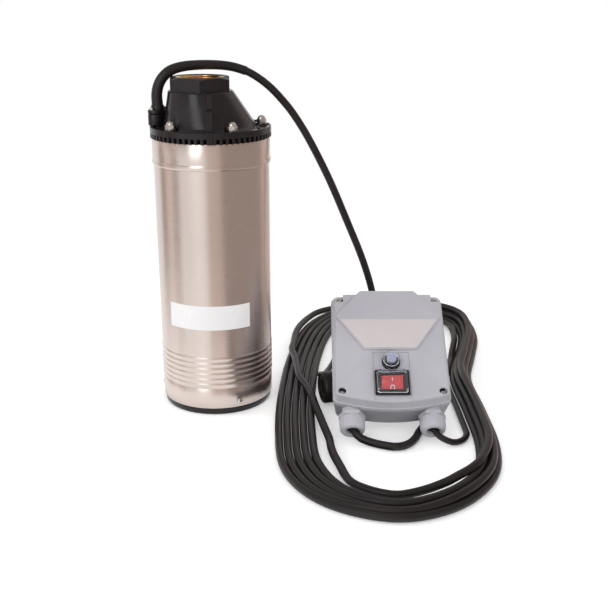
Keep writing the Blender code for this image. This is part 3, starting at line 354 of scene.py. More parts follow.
def twoTone(tree, source, first, second):
    mix = tree.nodes.new("ShaderNodeMix")
    mix.data_type = "RGBA"
    mix.inputs[6].default_value = (*first, 1.0)
    mix.inputs[7].default_value = (*second, 1.0)
    tree.links.new(spread(tree, source, 0.0, 1.0), mix.inputs[0])
    return mix.outputs[2]


def addBump(tree, shader, source, strength, distance):
    bump = tree.nodes.new("ShaderNodeBump")
    bump.inputs["Strength"].default_value = strength
    bump.inputs["Distance"].default_value = distance * mm
    tree.links.new(source, bump.inputs["Height"])
    tree.links.new(bump.outputs["Normal"], shader.inputs["Normal"])


def makeFinish(name, first, second, noise, rough, bump, metallic=0.0, **sockets):
    # one noise varies the tone, the roughness and the relief
    tone = second or first
    material, tree, shader = newMaterial(name, tone, sum(rough) / 2, metallic, **sockets)
    smear = noiseOn(tree, *noise)
    if second:
        tree.links.new(twoTone(tree, smear, first, second), shader.inputs["Base Color"])
    tree.links.new(spread(tree, smear, *rough), shader.inputs["Roughness"])
    addBump(tree, shader, smear, *bump)
    return material


def makeBarrelSteel():
    tone, darker = (0.67, 0.585, 0.54), (0.6231, 0.54405, 0.5022)
    material, tree, shader = newMaterial(
        "brushedBarrelSteel", tone, 0.30, 1.0, Anisotropic=0.65, Anisotropic_Rotation=0.25
    )
    around = tree.nodes.new("ShaderNodeTangent")  # the brushing runs round the barrel
    around.direction_type, around.axis = "RADIAL", "Z"
    tree.links.new(around.outputs["Tangent"], shader.inputs["Tangent"])
    brush = noiseOn(tree, 55.0, 6.0, 0.7, (0.5, 0.5, 26.0))
    cloud = noiseOn(tree, 9.0, 3.0, 0.5, (1, 1, 0.7))
    tree.links.new(twoTone(tree, cloud, darker, tone), shader.inputs["Base Color"])
    tree.links.new(spread(tree, brush, 0.26, 0.35), shader.inputs["Roughness"])
    addBump(tree, shader, brush, 0.05, 0.03)
    return material


def makePlastic(name, tone, shift, roughness, grainScale, grainDepth, specular=0.5):
    material, tree, shader = newMaterial(name, tone, roughness, Specular_IOR_Level=specular)
    cloud = noiseOn(tree, 28.0, 3.0)
    grain = noiseOn(tree, grainScale, 2.0, 0.6)
    other = tuple(min(1.0, value * shift) for value in tone)
    tree.links.new(twoTone(tree, cloud, tone, other), shader.inputs["Base Color"])
    low, high = roughness - 0.05, roughness + 0.07
    tree.links.new(spread(tree, cloud, low, high), shader.inputs["Roughness"])
    addBump(tree, shader, grain, 0.35, grainDepth)
    return material


# camera, floor and light


def setCamera():
    data = bpy.data.cameras.new("photoCamera")
    data.lens = cameraView["lens"]
    data.sensor_width = cameraView["sensor"]
    data.clip_start = 0.01
    camera = linkObject("photoCamera", data)
    camera.location = cameraView["place"]
    camera.rotation_euler = (math.radians(90 - cameraView["lookDown"]), 0, 0)
    bpy.context.scene.camera = camera


def lamp(name, place, target, size, watts, mirrored):
    data = bpy.data.lights.new(name, "AREA")
    data.shape = "RECTANGLE"
    data.size, data.size_y = size
    data.energy = watts
    light = linkObject(name, data)
    light.visible_glossy = mirrored
    light.location = place
    aim = Vector(target) - Vector(place)
    light.rotation_euler = aim.to_track_quat("-Z", "Y").to_euler()


def flagCard(name, fromAngle, toAngle, tone, nearEnd, reach, top):
    toCamera = math.degrees(math.atan2(cameraView["place"][0], -cameraView["place"][1]))
    bm = bmesh.new()
    loops = []
    steps = max(2, round((toAngle - fromAngle) / 6))
    for i in range(steps + 1):
        angle = toCamera + fromAngle + (toAngle - fromAngle) * i / steps
        rows = ((nearEnd, cardLift), (reach, cardLift), (reach, top))
        loops.append([bm.verts.new((*atAngle(angle, r), height)) for r, height in rows])
    for left, right in zip(loops, loops[1:]):
        for k in range(2):
            bm.faces.new((left[k], right[k], right[k + 1], left[k + 1]))
    card = linkObject(name, meshFrom(bm, name, unit=1.0))
    material = bpy.data.materials.new(name)
    material.use_nodes = True
    tree = material.node_tree
    tree.nodes.clear()
    glow = tree.nodes.new("ShaderNodeEmission")
    glow.inputs["Color"].default_value = (*(part * cardTones[tone] for part in cardTint), 1)
    output = tree.nodes.new("ShaderNodeOutputMaterial")
    tree.links.new(glow.outputs[0], output.inputs["Surface"])
    card.data.materials.append(material)
    card.visible_camera = card.visible_diffuse = card.visible_shadow = False
    card.visible_transmission = card.visible_volume_scatter = False


def seenRays(tree, *kinds):
    path = tree.nodes.new("ShaderNodeLightPath")
    total = path.outputs[kinds[0]]
    for kind in kinds[1:]:
        either = tree.nodes.new("ShaderNodeMath")
        either.operation = "MAXIMUM"
        tree.links.new(total, either.inputs[0])
        tree.links.new(path.outputs[kind], either.inputs[1])
        total = either.outputs[0]
    return total


def mixShaders(tree, share, first, second):
    mix = tree.nodes.new("ShaderNodeMixShader")
    for slot, source in enumerate((share, first, second)):
        tree.links.new(source, mix.inputs[slot])
    return mix.outputs[0]


def setFloor():
    half = studio["floorHalf"]
    bm = bmesh.new()
    corners = [(-half, -half), (half, -half), (half, half), (-half, half)]
    bm.faces.new([bm.verts.new((x, y, studio["floorHeight"])) for x, y in corners])
    floor = linkObject("paleFloor", meshFrom(bm, "paleFloor", unit=1.0))
    if floor.data.polygons[0].normal.z < 0:
        floor.data.flip_normals()
    tone = studio["floorTone"]
    material, tree, shader = newMaterial(
        "paleFloor", (tone, tone, tone), 0.6, Specular_IOR_Level=0.2
    )
    glow = tree.nodes.new("ShaderNodeEmission")
    glow.inputs["Strength"].default_value = studio["floorGlow"]
    near = tree.nodes.new("ShaderNodeAddShader")
    tree.links.new(shader.outputs[0], near.inputs[0])
    tree.links.new(glow.outputs[0], near.inputs[1])
    white = tree.nodes.new("ShaderNodeEmission")
    coords = tree.nodes.new("ShaderNodeTexCoord")
    away = tree.nodes.new("ShaderNodeVectorMath")
    away.operation = "DISTANCE"
    away.inputs[1].default_value = studio["floorMiddle"]
    tree.links.new(coords.outputs["Object"], away.inputs[0])
    fade = spread(tree, away.outputs["Value"], 0.0, 1.0, *studio["floorFade"])
    seen = mixShaders(tree, fade, near.outputs[0], white.outputs[0])
    rays = seenRays(tree, "Is Camera Ray", "Is Glossy Ray", "Is Transmission Ray")
    output = tree.nodes["Material Output"]
    tree.links.new(mixShaders(tree, rays, shader.outputs[0], seen), output.inputs["Surface"])
    floor.data.materials.append(material)


def setWorld():
    world = bpy.data.worlds.new("studioWorld")
    bpy.context.scene.world = world
    world.use_nodes = True
    tree = world.node_tree
    tree.nodes.clear()
    output = tree.nodes.new("ShaderNodeOutputWorld")
    ambient, white, mirrored = (tree.nodes.new("ShaderNodeBackground") for _ in range(3))
    for light in (ambient, white, mirrored):
        light.inputs["Color"].default_value = (1, 1, 1, 1)
    ambient.inputs["Strength"].default_value = studio["ambient"]
    coords = tree.nodes.new("ShaderNodeTexCoord")
    parts = tree.nodes.new("ShaderNodeSeparateXYZ")
    tree.links.new(coords.outputs["Generated"], parts.inputs[0])
    height = spread(tree, parts.outputs["Z"], 1.0, studio["overhead"], 0.15, 0.6)
    tree.links.new(height, mirrored.inputs["Strength"])
    glossy = seenRays(tree, "Is Glossy Ray")
    soft = mixShaders(tree, glossy, ambient.outputs[0], mirrored.outputs[0])
    rays = seenRays(tree, "Is Camera Ray", "Is Transmission Ray")
    tree.links.new(mixShaders(tree, rays, soft, white.outputs[0]), output.inputs["Surface"])


def setStudio():
    setFloor()
    setWorld()
    for number, values in enumerate(flags, 1):
        flagCard(f"flag{number}", *values)
    for name, values in lamps.items():
        lamp(name, *values)
    bpy.context.scene.view_settings.view_transform = "Standard"


setCamera()
setStudio()
print("camera, floor and light are set")

barrelSteel = makeBarrelSteel()
fastenerSteel = makeFinish(
    "platedFastenerSteel", (0.56, 0.552, 0.536), (0.70, 0.69, 0.67), (420.0, 4.0), (0.14, 0.32),
    (0.08, 0.02), 1.0,
)
brassTurned = makeFinish(
    "turnedBrass", (0.70, 0.43, 0.13), (0.83, 0.56, 0.21), (60.0, 5.0, 0.7, (0.6, 0.6, 30.0)),
    (0.15, 0.3), (0.12, 0.03), 1.0,
)
clearCover = makeFinish(
    "clearCover", (0.93, 0.95, 1.0), None, (160.0, 2.0), (0.05, 0.16), (0.15, 0.05),
    Transmission_Weight=1.0, IOR=1.38,
)
# painted glow: the rocker holds no lamp, and its faint red emission lifts its tone as light would
redRocker = makeFinish(
    "redRocker", (0.47, 0.02, 0.02), (0.60, 0.03, 0.03), (130.0, 3.0), (0.15, 0.28), (0.1, 0.03),
    Coat_Weight=0.4, Emission_Color=(1.0, 0.05, 0.03, 1.0), Emission_Strength=0.06,
)

# tone, factor of the second tone, roughness, grain's scale and depth, specular level
plastics = {
    "blackMoulding": ((0.009, 0.007, 0.008), 1.5, 0.22, 900, 0.04, 0.34),
    "blackSwitchPlastic": ((0.009, 0.009, 0.010), 1.4, 0.3, 900, 0.03, 0.4),
    "cableJacket": ((0.011, 0.0085, 0.009), 1.6, 0.4, 700, 0.04, 0.32),
    "greyMoulding": ((0.44, 0.433, 0.47), 1.06, 0.42, 650, 0.05, 0.4),
    "whiteLabelFilm": ((0.81, 0.795, 0.80), 0.97, 0.3, 300, 0.01, 0.4),
    "printedField": ((0.60, 0.545, 0.55), 0.95, 0.4, 500, 0.02, 0.4),
    "whitePrint": ((0.80, 0.80, 0.80), 0.95, 0.4, 500, 0.01, 0.4),
    "resetButtonPlastic": ((0.40, 0.42, 0.52), 1.1, 0.3, 400, 0.02, 0.5),
    "castBracket": ((0.16, 0.16, 0.165), 1.3, 0.55, 260, 0.2, 0.5),
    "sheetStack": ((0.20, 0.20, 0.21), 1.25, 0.5, 500, 0.1, 0.5),
    "windingVarnish": ((0.36, 0.12, 0.04), 1.4, 0.35, 350, 0.2, 0.5),
    "stagePlastic": ((0.045, 0.05, 0.06), 1.3, 0.4, 500, 0.05, 0.5),
}
finishes = {name: makePlastic(name, *values) for name, values in plastics.items()}
blackMoulding, blackSwitch = finishes["blackMoulding"], finishes["blackSwitchPlastic"]
cableJacket, greyMoulding = finishes["cableJacket"], finishes["greyMoulding"]
print("materials are made")


# cords, in metres

motorCord = {"diameter": 0.0086, "lane": 0.00895, "points": 0.006, "bend": 0.022, "depth": 0.010}
mainsCord = {"diameter": 0.0068, "points": 0.005, "bend": 0.020, "depth": 0.009}
level = motorCord["diameter"] / 2 + 0.00035  # the motor cord's middle on the floor
second = 0.012  # in the groove of two strands
third = 0.0196
onTop = 0.0131
low = mainsCord["diameter"] / 2 + 0.0001  # the mains cord's middle on the floor
riding = level + motorCord["diameter"] / 2 + mainsCord["diameter"] / 2 + 0.0001

# middle line of the coil, clockwise from behind the box
coilLine = [
    (0.225, 0.308), (0.286, 0.295), (0.324, 0.245), (0.327, 0.180), (0.311, 0.105), (0.294, 0.030),
    (0.295, -0.060), (0.294, -0.150), (0.279, -0.215), (0.240, -0.262), (0.185, -0.280),
    (0.131, -0.253), (0.100, -0.195), (0.0925, -0.110), (0.0935, -0.010), (0.103, 0.110),
    (0.124, 0.215), (0.165, 0.285),
]

# the cord's stations round the coil, 18 to a turn, with the place in lanes outwards and height
coilKeys = [
    (0.5, -0.4, 0.0150), (2, 0.0, third), (7, 0.0, third), (8, -0.7, 0.0188),
    (8.6, -1.8, 0.0140), (9.2, -2.9, 0.0070), (9.8, -3.2, level), (11, -3.3, level),
    (12, -4.2, level), (12.7, -4.0, level), (13.3, -3.1, 0.0090), (13.7, -2.1, onTop),
    (14.5, 0.4, onTop), (15.1, 2.0, onTop), (15.7, 2.6, onTop), (16.4, 2.9, 0.0105),
    (17.2, 2.7, 0.0055),
    (18, 1.5, level), (20, 1.0, level), (26, 1.0, level), (28, 1.4, level), (30, 2.0, level),
    (34, 2.0, level),
    (36, 0.5, level), (37.2, 0.5, 0.0085), (38.2, 0.5, second), (44.5, 0.5, second),
    (46, 0.75, 0.0080), (47.4, 1.0, level), (52, 1.0, level),
    (54, -0.5, level), (56, 0.0, level), (70, 0.0, level),
    (72, -1.5, level), (73.2, -0.9, 0.0085), (74.2, -0.5, second), (80.5, -0.5, second),
    (82, -0.75, 0.0080), (83.4, -1.0, level), (88, -1.0, level),
    (90, -2.5, level), (92, -1.0, level), (98, -1.0, level), (100, -1.5, level),
    (102, -2.0, level), (106, -2.0, level),
    (108, -3.5, level), (110, -2.05, level), (111.7, -2.05, level),
]

# the motor cord from the pump's entry over the outlet and down to the coil
entryX = pump["entryX"] * mm
motorArch = [
    (entryX, 0.0, 0.3300), (entryX, 0.0, 0.3400), (entryX - 0.0002, 0.0, 0.3510),
    (-0.0550, 0.0003, 0.3610), (-0.0499, 0.0020, 0.3694), (-0.0415, 0.0062, 0.3761),
    (-0.0277, 0.0130, 0.3797), (-0.0090, 0.0210, 0.3806), (0.0099, 0.0280, 0.3797),
    (0.0242, 0.0318, 0.3774), (0.0375, 0.0347, 0.3731), (0.0500, 0.0373, 0.3660),
    (0.0633, 0.0410, 0.3554), (0.0760, 0.0438, 0.3420), (0.0900, 0.0450, 0.3245),
    (0.1080, 0.0485, 0.2950), (0.1316, 0.0541, 0.2477), (0.1540, 0.0590, 0.1950),
    (0.1722, 0.0640, 0.1500), (0.1850, 0.0700, 0.1090), (0.1925, 0.0800, 0.0690),
    (0.1980, 0.0990, 0.0370), (0.2030, 0.1270, 0.0160), (0.2070, 0.1600, 0.0054),
    (0.2100, 0.1950, level), (0.2130, 0.2250, 0.0065), (0.2170, 0.2480, 0.0112),
    (0.2230, 0.2740, 0.0146), (0.2330, 0.2930, 0.0150),
]

# from the coil under the box to the left gland
motorTail = [
    (0.2925, 0.1000, level), (0.2840, 0.0650, level), (0.2740, 0.0300, level),
    (0.2630, -0.0050, level), (0.2520, -0.0400, level), (0.2420, -0.0750, level),
    (0.2328, -0.1010, level), (0.2252, -0.1190, level), (0.2205, -0.1318, level),
    (0.2135, -0.1430, level), (0.2050, -0.1497, level), (0.1958, -0.1510, level),
    (0.1860, -0.1477, level), (0.1762, -0.1428, 0.0046),
]

# the mains cord: out of the right gland, over the coil's edge, and back to the plug
mainsStart = [
    (0.2585, -0.1400, 0.0044), (0.2665, -0.1368, low), (0.2728, -0.1306, low),
    (0.2763, -0.1225, low),
]
mainsKeys = [
    (0.5, -4.3, low), (1.2, -4.0, 0.0046), (2.0, -3.2, 0.0085), (2.8, -2.1, riding),
    (3.4, -2.0, riding), (4.6, -1.95, low), (6.6, -2.0, low),
]
mainsEnd = [
    (0.2130, 0.2680, low), (0.1960, 0.2640, low), (0.1800, 0.2500, low), (0.1680, 0.2290, low),
    (0.1595, 0.2000, low), (0.1520, 0.1650, low), (0.1455, 0.1250, low), (0.1385, 0.0870, low),
    (0.1315, 0.0600, 0.0042), (0.1265, 0.0400, 0.0080),
]
plugApproach = [(0.028, -0.0032), (0.016, -0.0009), (0.005, 0.0), (0.0006, 0.0)]


def vectors(rows):
    return [Vector(row) for row in rows]


def coilPoint(station, lanes, height):
    count = len(coilLine)
    i = math.floor(station)
    t = station - i
    p = [Vector(coilLine[(i + k) % count]) for k in (-1, 0, 1, 2)]
    rise, curl, twist = p[2] - p[0], p[0] * 2 - p[1] * 5 + p[2] * 4 - p[3], p[1] * 3 - p[0] - p[2] * 3 + p[3]
    here = (p[1] * 2 + rise * t + curl * t * t + twist * t**3) * 0.5
    along = (rise + curl * 2 * t + twist * 3 * t * t).normalized()
    place = here + Vector((-along.y, along.x)) * lanes * motorCord["lane"]
    return Vector((place.x, place.y, height))


def eased(keys, value):
    for a, b in zip(keys, keys[1:]):
        if value <= b[0]:
            t = (value - a[0]) / (b[0] - a[0])
            t = t * t * (3 - 2 * t)
            return [x + (y - x) * t for x, y in zip(a[1:], b[1:])]
    return list(keys[-1][1:])


def coilRun(step=0.25):
    station, points = coilKeys[0][0], []
    while station < coilKeys[-1][0]:
        points.append(coilPoint(station, *eased(coilKeys, station)))
        station += step
    return points[1:]


def glandMouth(side):
    return boxMatrix @ (Vector((side * box["glandU"], -26.97, box["glandT"])) * mm)


def glandBend(side, form):
    # the cord starts to turn inside the gland, and comes out of its wide mouth
    outward = boxMatrix.to_3x3() @ Vector((0, -1, 0))
    clamp = glandMouth(side) - outward * form["depth"]
    radius = form["bend"]
    bend = []
    for turn in (62, 46, 30, 14, 0):
        angle = math.radians(turn)
        across = Vector((radius * (1 - math.cos(angle)), 0, 0))
        bend.append(clamp + outward * radius * math.sin(angle) + across)
    return bend + [clamp - outward * 0.009]


def sweptLoops(points, radii, count):
    loops = []
    across = Vector((0, 1, 0))
    for i, point in enumerate(points):
        along = points[min(i + 1, len(points) - 1)] - points[max(i - 1, 0)]
        across = (across - along * (across.dot(along) / along.length_squared)).normalized()
        other = along.normalized().cross(across)
        loop = []
        for k in range(count):
            angle = math.tau * k / count
            loop.append(point + (across * math.cos(angle) + other * math.sin(angle)) * radii[i])
        loops.append(loop)
    return loops


sleeveForm = {"low": 0.0063, "high": 0.00495, "spacing": 0.003, "segments": 40, "controls": 11}


def makeSleeve():
    route = vectors(motorArch[:sleeveForm["controls"]])
    points = evenly(catmull(route, 8), sleeveForm["spacing"])
    count = len(points) - 1
    swell = sleeveForm["low"] - sleeveForm["high"]
    radii = [sleeveForm["high"] + swell * (1 - i / count) ** 1.6 for i in range(count + 1)]
    bore = motorCord["diameter"] / 2 + 0.00005
    outer = sweptLoops(points, radii, sleeveForm["segments"])
    inner = sweptLoops(points, [bore] * len(points), sleeveForm["segments"])
    bm = bmesh.new()
    joinLoops(bm, outer + inner[::-1], True)
    sleeve = linkObject("cableSleeve", meshFrom(bm, "cableSleeve", 50, unit=1.0))
    finishPiece(sleeve, cableJacket, ("cable_boot",))


def cordPiece(name, controls, form, replaced):
    points = evenly(catmull(controls, 8), form["points"])
    curve = bpy.data.curves.new(name, "CURVE")
    curve.dimensions = "3D"
    spline = curve.splines.new("POLY")
    spline.points.add(len(points) - 1)
    for slot, point in zip(spline.points, points):
        slot.co = (*point, 1.0)
    curve.bevel_depth = form["diameter"] / 2
    curve.bevel_resolution = 4
    curve.use_fill_caps = True
    length = lengthOf(points)
    print(name, "length", round(length, 3))
    return finishPiece(linkObject(name, curve), cableJacket, replaced), round(length, 2)


def makeMotorCord():
    controls = vectors(motorArch) + coilRun() + vectors(motorTail) + glandBend(-1, motorCord)
    replaced = ("motor_cable", "cable_coil", "motor_cable_tail")
    piece, length = cordPiece("motorCord", controls, motorCord, replaced)


def makeMainsCord():
    controls = glandBend(1, mainsCord)[::-1] + vectors(mainsStart)
    station = mainsKeys[-1][0]
    while station > mainsKeys[0][0]:
        controls.append(coilPoint(station, *eased(mainsKeys, station)))
        station -= 0.3
    rim, side = plugRim() * mm, plugSide()
    controls += vectors(mainsEnd)
    controls += [rim + side * away + Vector((0, 0, drop)) for away, drop in plugApproach]
    piece, length = cordPiece("mainsCord", controls, mainsCord, ("mains_lead", "mains_tail"))


# plug on its side, with its cord at the rim

plugForm = {
    "place": (122.5, -27.0),
    "turn": 16.0,
    "radius": 18.5,
    "length": 27.0,
    "rings": 5,
    "ringPitch": 3.1,
    "pinRadius": 2.4,
    "pinLength": 19.0,
    "pinSpacing": 19.0,
    "reliefRings": 5,
    "reliefPitch": 4.4,
    "reliefEnd": 22.6,
}


def plugMatrix():
    turn = math.radians(plugForm["turn"])
    place = (*plugForm["place"], plugForm["radius"] + 0.05)
    return frameAt(place, (math.cos(turn), math.sin(turn), 0))


def plugSide():
    turn = math.radians(plugForm["turn"])
    return Vector((-math.sin(turn), math.cos(turn), 0))


def plugRim():
    middle = plugMatrix() @ Vector((0, 0, plugForm["length"] * 0.45))
    return middle + plugSide() * plugForm["radius"]


def makePlug():
    r, length = plugForm["radius"], plugForm["length"]
    bm = bmesh.new()
    profile = [(0.5, 2.4), (8.5, 2.4), (9.5, 1.2), (r - 3.6, 1.2), (r - 3.0, 0.2)]
    profile += [(r - 2.0, 0), (r - 0.8, 0.8), (r, 2.6)]
    for k in range(plugForm["rings"]):  # grip rings round the body
        z = 5 + k * plugForm["ringPitch"]
        profile += [(r, z), (r - 0.5, z + 0.6), (r - 0.5, z + 1.3), (r, z + 1.9)]
    profile += [(r, length - 6), (r - 1.2, length - 5)]
    profile += [(r - 1.2, length - 0.5), (r - 1.8, length), (0.5, length)]
    turnedInto(bm, profile, 72, False, plugMatrix())
    plug = addPiece("plugBody", bm, cableJacket, ("plug",))

    bm = bmesh.new()
    rp, end = plugForm["pinRadius"], length + plugForm["pinLength"]
    profile = [(0.01, length - 3), (rp, length - 3), (rp, end - 2)]
    profile += [(rp * 0.8, end - 0.6), (rp * 0.4, end), (0.01, end)]
    for side in (-1, 1):
        aside = Matrix.Translation((0, side * plugForm["pinSpacing"] / 2, 0))
        turnedInto(bm, profile, 24, False, plugMatrix() @ aside)
    addPiece("plugPins", bm, fastenerSteel)

    bm = bmesh.new()
    core, end = mainsCord["diameter"] / mm / 2, plugForm["reliefEnd"]
    profile = [(core + 0.02, -1.5), (core + 2.6, -1.5)]
    for k in range(plugForm["reliefRings"]):
        z, outer = k * plugForm["reliefPitch"], core + 2.4 - 0.35 * k
        profile += [(outer, z + 0.6), (outer, z + 2.6), (outer - 0.9, z + 3.0), (outer - 0.9, z + 4.0)]
    profile += [(core + 0.35, end), (core + 0.02, end)]
    aim = plugSide() * 18 + Vector((0, 0, -0.9))
    turnedInto(bm, profile, 32, True, frameAt(plugRim(), aim))
    return plug, addPiece("plugRelief", bm, cableJacket)


plugPiece, reliefPiece = makePlug()
makeSleeve()
makeMotorCord()
makeMainsCord()
print("cords and plug are laid")


# barrel and foot

barrelForm = {
    "segments": 160,
    "groove": 32.0,
    "ribs": 6,
    "ribFirst": 36.5,
    "ribPitch": 6.2,
    "ribProud": 0.65,
    "ribStep": 0.62,
    "bead": 281.0,
    "beadProud": 1.85,
    "beadStep": 0.53,
    "socketProud": 1.0,
}


def makeBarrel():
    r, low, top = pump["shellRadius"], pump["shellBottom"], pump["shellTop"]
    groove, socket = barrelForm["groove"], r + barrelForm["socketProud"]
    outer = [(r - 0.5, low), (r, low + 0.5), (r, groove - 0.8), (r - 0.45, groove - 0.3)]
    outer += [(r - 0.45, groove + 0.3), (r, groove + 0.8)]
    for k in range(barrelForm["ribs"]):  # rolled ribs
        middle = barrelForm["ribFirst"] + k * barrelForm["ribPitch"]
        for step in range(-4, 5):
            swell = barrelForm["ribProud"] * (0.5 + 0.5 * math.cos(math.pi * step / 4.0))
            outer.append((r + swell, middle + step * barrelForm["ribStep"]))
    for step in range(-6, 7):  # bead under the socket
        share = step / 6
        swell = barrelForm["beadProud"] * math.sqrt(max(0.0, 1 - share * share))
        base = barrelForm["socketProud"] * (share + 1) / 2
        outer.append((r + max(swell, base), barrelForm["bead"] + step * barrelForm["beadStep"]))
    outer += [(socket, 286.5), (socket, top - 0.4), (socket - 0.4, top)]
    inner = [(r - 0.2, top), (r - 0.2, 284.5), (r - 1.2, 277.5), (r - 1.2, low)]
    bm = bmesh.new()
    turnedInto(bm, outer + inner, barrelForm["segments"])
    addPiece("pumpBarrel", bm, barrelSteel, ("shell",), 50)


def makeFoot():
    r = pump["shellRadius"] - 0.7
    profile = [(0.5, 0), (r - 2.6, 0), (r - 1.6, 0.4), (r - 1.0, 1.2), (r - 0.1, 7.0)]
    profile += [(r - 0.3, 7.7), (r - 2.0, 7.7), (r - 2.0, 24.0), (r - 13, 24.0), (r - 13, 15.0)]
    bm = bmesh.new()
    turnedInto(bm, profile + [(0.5, 15.0)], 128, False)
    addPiece("pumpFoot", bm, blackMoulding, ("foot",))


def panHeadInto(bm, matrix, radius, height):
    shares = [(0.97, 0.0), (1.0, 0.12), (1.0, 0.42), (0.93, 0.68), (0.72, 0.9), (0.4, 1.0)]
    profile = [(0.01, -4), (radius * 0.55, -4), (radius * 0.55, 0)]
    profile += [(radius * a, height * b) for a, b in shares + [(0.36, 0.55)]]
    turnedInto(bm, profile + [(0.01, height * 0.45)], 28, False, matrix)
    long, thin = radius * 0.52, radius * 0.07
    for turn in (0, 90):  # the cross of the recess
        wing = Matrix.Rotation(math.radians(turn), 4, "Z")
        outline = rect(-long, long, -thin, thin)
        prismInto(bm, outline, height * 0.3, height * 0.62, 0, matrix @ wing)


def makeFootScrews():
    bm = bmesh.new()
    for angle in (27.3, 147.3, -92.7):
        x, y = atAngle(angle, pump["shellRadius"] + 0.2)
        panHeadInto(bm, frameAt((x, y, 15.0), (x, y, 0)), 3.1, 2.3)
    addPiece("footScrews", bm, fastenerSteel, numbered("foot_screw", 3))


labelForm = {"from": -46.5, "to": 41.0, "low": 102.0, "high": 129.6, "lift": 0.02, "proud": 0.12}


def makeLabel():
    first, last = labelForm["from"], labelForm["to"]
    low, high = labelForm["low"], labelForm["high"]
    steps = int((last - first) / 2)
    loops = []
    for i in range(steps + 1):
        angle = first + (last - first) * i / steps
        a = atAngle(angle, pump["shellRadius"] + labelForm["lift"])
        b = atAngle(angle, pump["shellRadius"] + labelForm["proud"])
        loops.append(vectors([(*a, low), (*b, low), (*b, high), (*a, high)]))
    bm = bmesh.new()
    joinLoops(bm, loops)
    addPiece("ratingLabel", bm, finishes["whiteLabelFilm"], sharp=40)


makeBarrel()
makeFoot()
makeFootScrews()
makeLabel()
print("barrel and foot are made")


# intake ring and head

ringForm = {
    "teeth": 62,
    "segments": 248,
    "bore": 60.6,
    "toothRadius": 63.3,
    "toothHalf": 1.62,
    "toothDeep": 2.8,
    "toothHigh": 5.35,
}

headForm = {
    "coneFoot": 51.5,
    "coneTop": 35.0,
    "recess": 8.0,
    "hexTurn": 5.0,
    "ribTurn": 4.3,
    "hexAcross": 63.0,
    "hexRound": 0.9,
    "chamfer": 28.0,
    "land": 30.6,
    "bore": 27.6,
    "boreEnd": 345.2,
    "rim": 64.1,
    "spigotEnd": 279.2,
    "ribHalf": 3.0,
    "entryHalf": 11.9,
    "entryWidth": 15.4,
}


def ribMatrix():
    return Matrix.Rotation(math.radians(headForm["ribTurn"]), 4, "Z")


def makeIntakeRing():
    r, crown, lip, bore = pump["ringRadius"], pump["ringCrown"], pump["lipTop"], ringForm["bore"]
    ledge = crown + 1.5
    profile = [(bore, crown), (r, crown), (r, lip - 0.6), (r - 0.5, lip), (r - 1.5, lip)]
    profile += [(r - 1.8, lip - 0.3), (r - 1.8, ledge), (bore, ledge)]
    bm = bmesh.new()
    turnedInto(bm, profile, ringForm["segments"])
    # bar of the front rib, carried down over the rim
    outline = rounded(rect(-3.1, 3.1, -r - 0.9, -r + 2), 0.6)
    prismInto(bm, outline, pump["ringBottom"] + 0.4, lip + 0.6, 0.4, ribMatrix())
    addPiece("intakeRing", bm, blackMoulding, ("intake_ring",))


def toothTree():
    # copies of one tooth on a circle, each turned to face outwards
    tree = bpy.data.node_groups.new("toothRow", "GeometryNodeTree")
    tree.is_modifier = True
    kinds = {"Count": "Int", "Radius": "Float", "Height": "Float", "Tooth": "Object", "Finish": "Material"}
    for name, kind in kinds.items():
        tree.interface.new_socket(name, in_out="INPUT", socket_type="NodeSocket" + kind)
    tree.interface.new_socket("Geometry", in_out="OUTPUT", socket_type="NodeSocketGeometry")
    nodes = {
        "entry": "NodeGroupInput",
        "output": "NodeGroupOutput",
        "circle": "GeometryNodeMeshCircle",
        "place": "GeometryNodeSetPosition",
        "lift": "ShaderNodeCombineXYZ",
        "info": "GeometryNodeObjectInfo",
        "copies": "GeometryNodeInstanceOnPoints",
        "where": "GeometryNodeInputPosition",
        "aim": "FunctionNodeAlignEulerToVector",
        "real": "GeometryNodeRealizeInstances",
        "paint": "GeometryNodeSetMaterial",
    }
    nodes = {name: tree.nodes.new(kind) for name, kind in nodes.items()}
    nodes["aim"].axis, nodes["aim"].pivot_axis = "Y", "Z"
    links = [
        ("entry", "Count", "circle", "Vertices"),
        ("entry", "Radius", "circle", "Radius"),
        ("circle", "Mesh", "place", "Geometry"),
        ("entry", "Height", "lift", "Z"),
        ("lift", 0, "place", "Offset"),
        ("entry", "Tooth", "info", "Object"),
        ("place", "Geometry", "copies", "Points"),
        ("info", "Geometry", "copies", "Instance"),
        ("where", 0, "aim", "Vector"),
        ("aim", 0, "copies", "Rotation"),
        ("copies", "Instances", "real", "Geometry"),
        ("real", "Geometry", "paint", "Geometry"),
        ("entry", "Finish", "paint", "Material"),
        ("paint", "Geometry", "output", "Geometry"),
    ]
    for source, port, target, slot in links:
        tree.links.new(nodes[source].outputs[port], nodes[target].inputs[slot])
    return tree


def makeTeeth():
    half, deep = ringForm["toothHalf"], ringForm["toothDeep"]
    bm = bmesh.new()
    prismInto(bm, rounded(rect(-half, half, -deep, deep), 0.5, 2), 0, ringForm["toothHigh"])
    tooth = linkObject("toothShape", meshFrom(bm, "toothShape"))
    values = {
        "Count": ringForm["teeth"],
        "Radius": ringForm["toothRadius"] * mm,
        "Height": pump["ringBottom"] * mm,
        "Tooth": tooth,
        "Finish": blackMoulding,
    }
    holder = linkObject("teethHolder", bpy.data.meshes.new("teethHolder"))
    modifier = holder.modifiers.new("intakeTeeth", "NODES")
    modifier.node_group = toothTree()
    for item in modifier.node_group.interface.items_tree:
        if item.in_out == "INPUT":
            modifier[item.identifier] = values[item.name]
    mesh = evaluatedMesh(holder, "intakeTeeth")
    for spare in (holder, tooth):
        bpy.data.objects.remove(spare)
    shadeSoftly(mesh, 35)
    finishPiece(linkObject("intakeTeeth", mesh), blackMoulding)


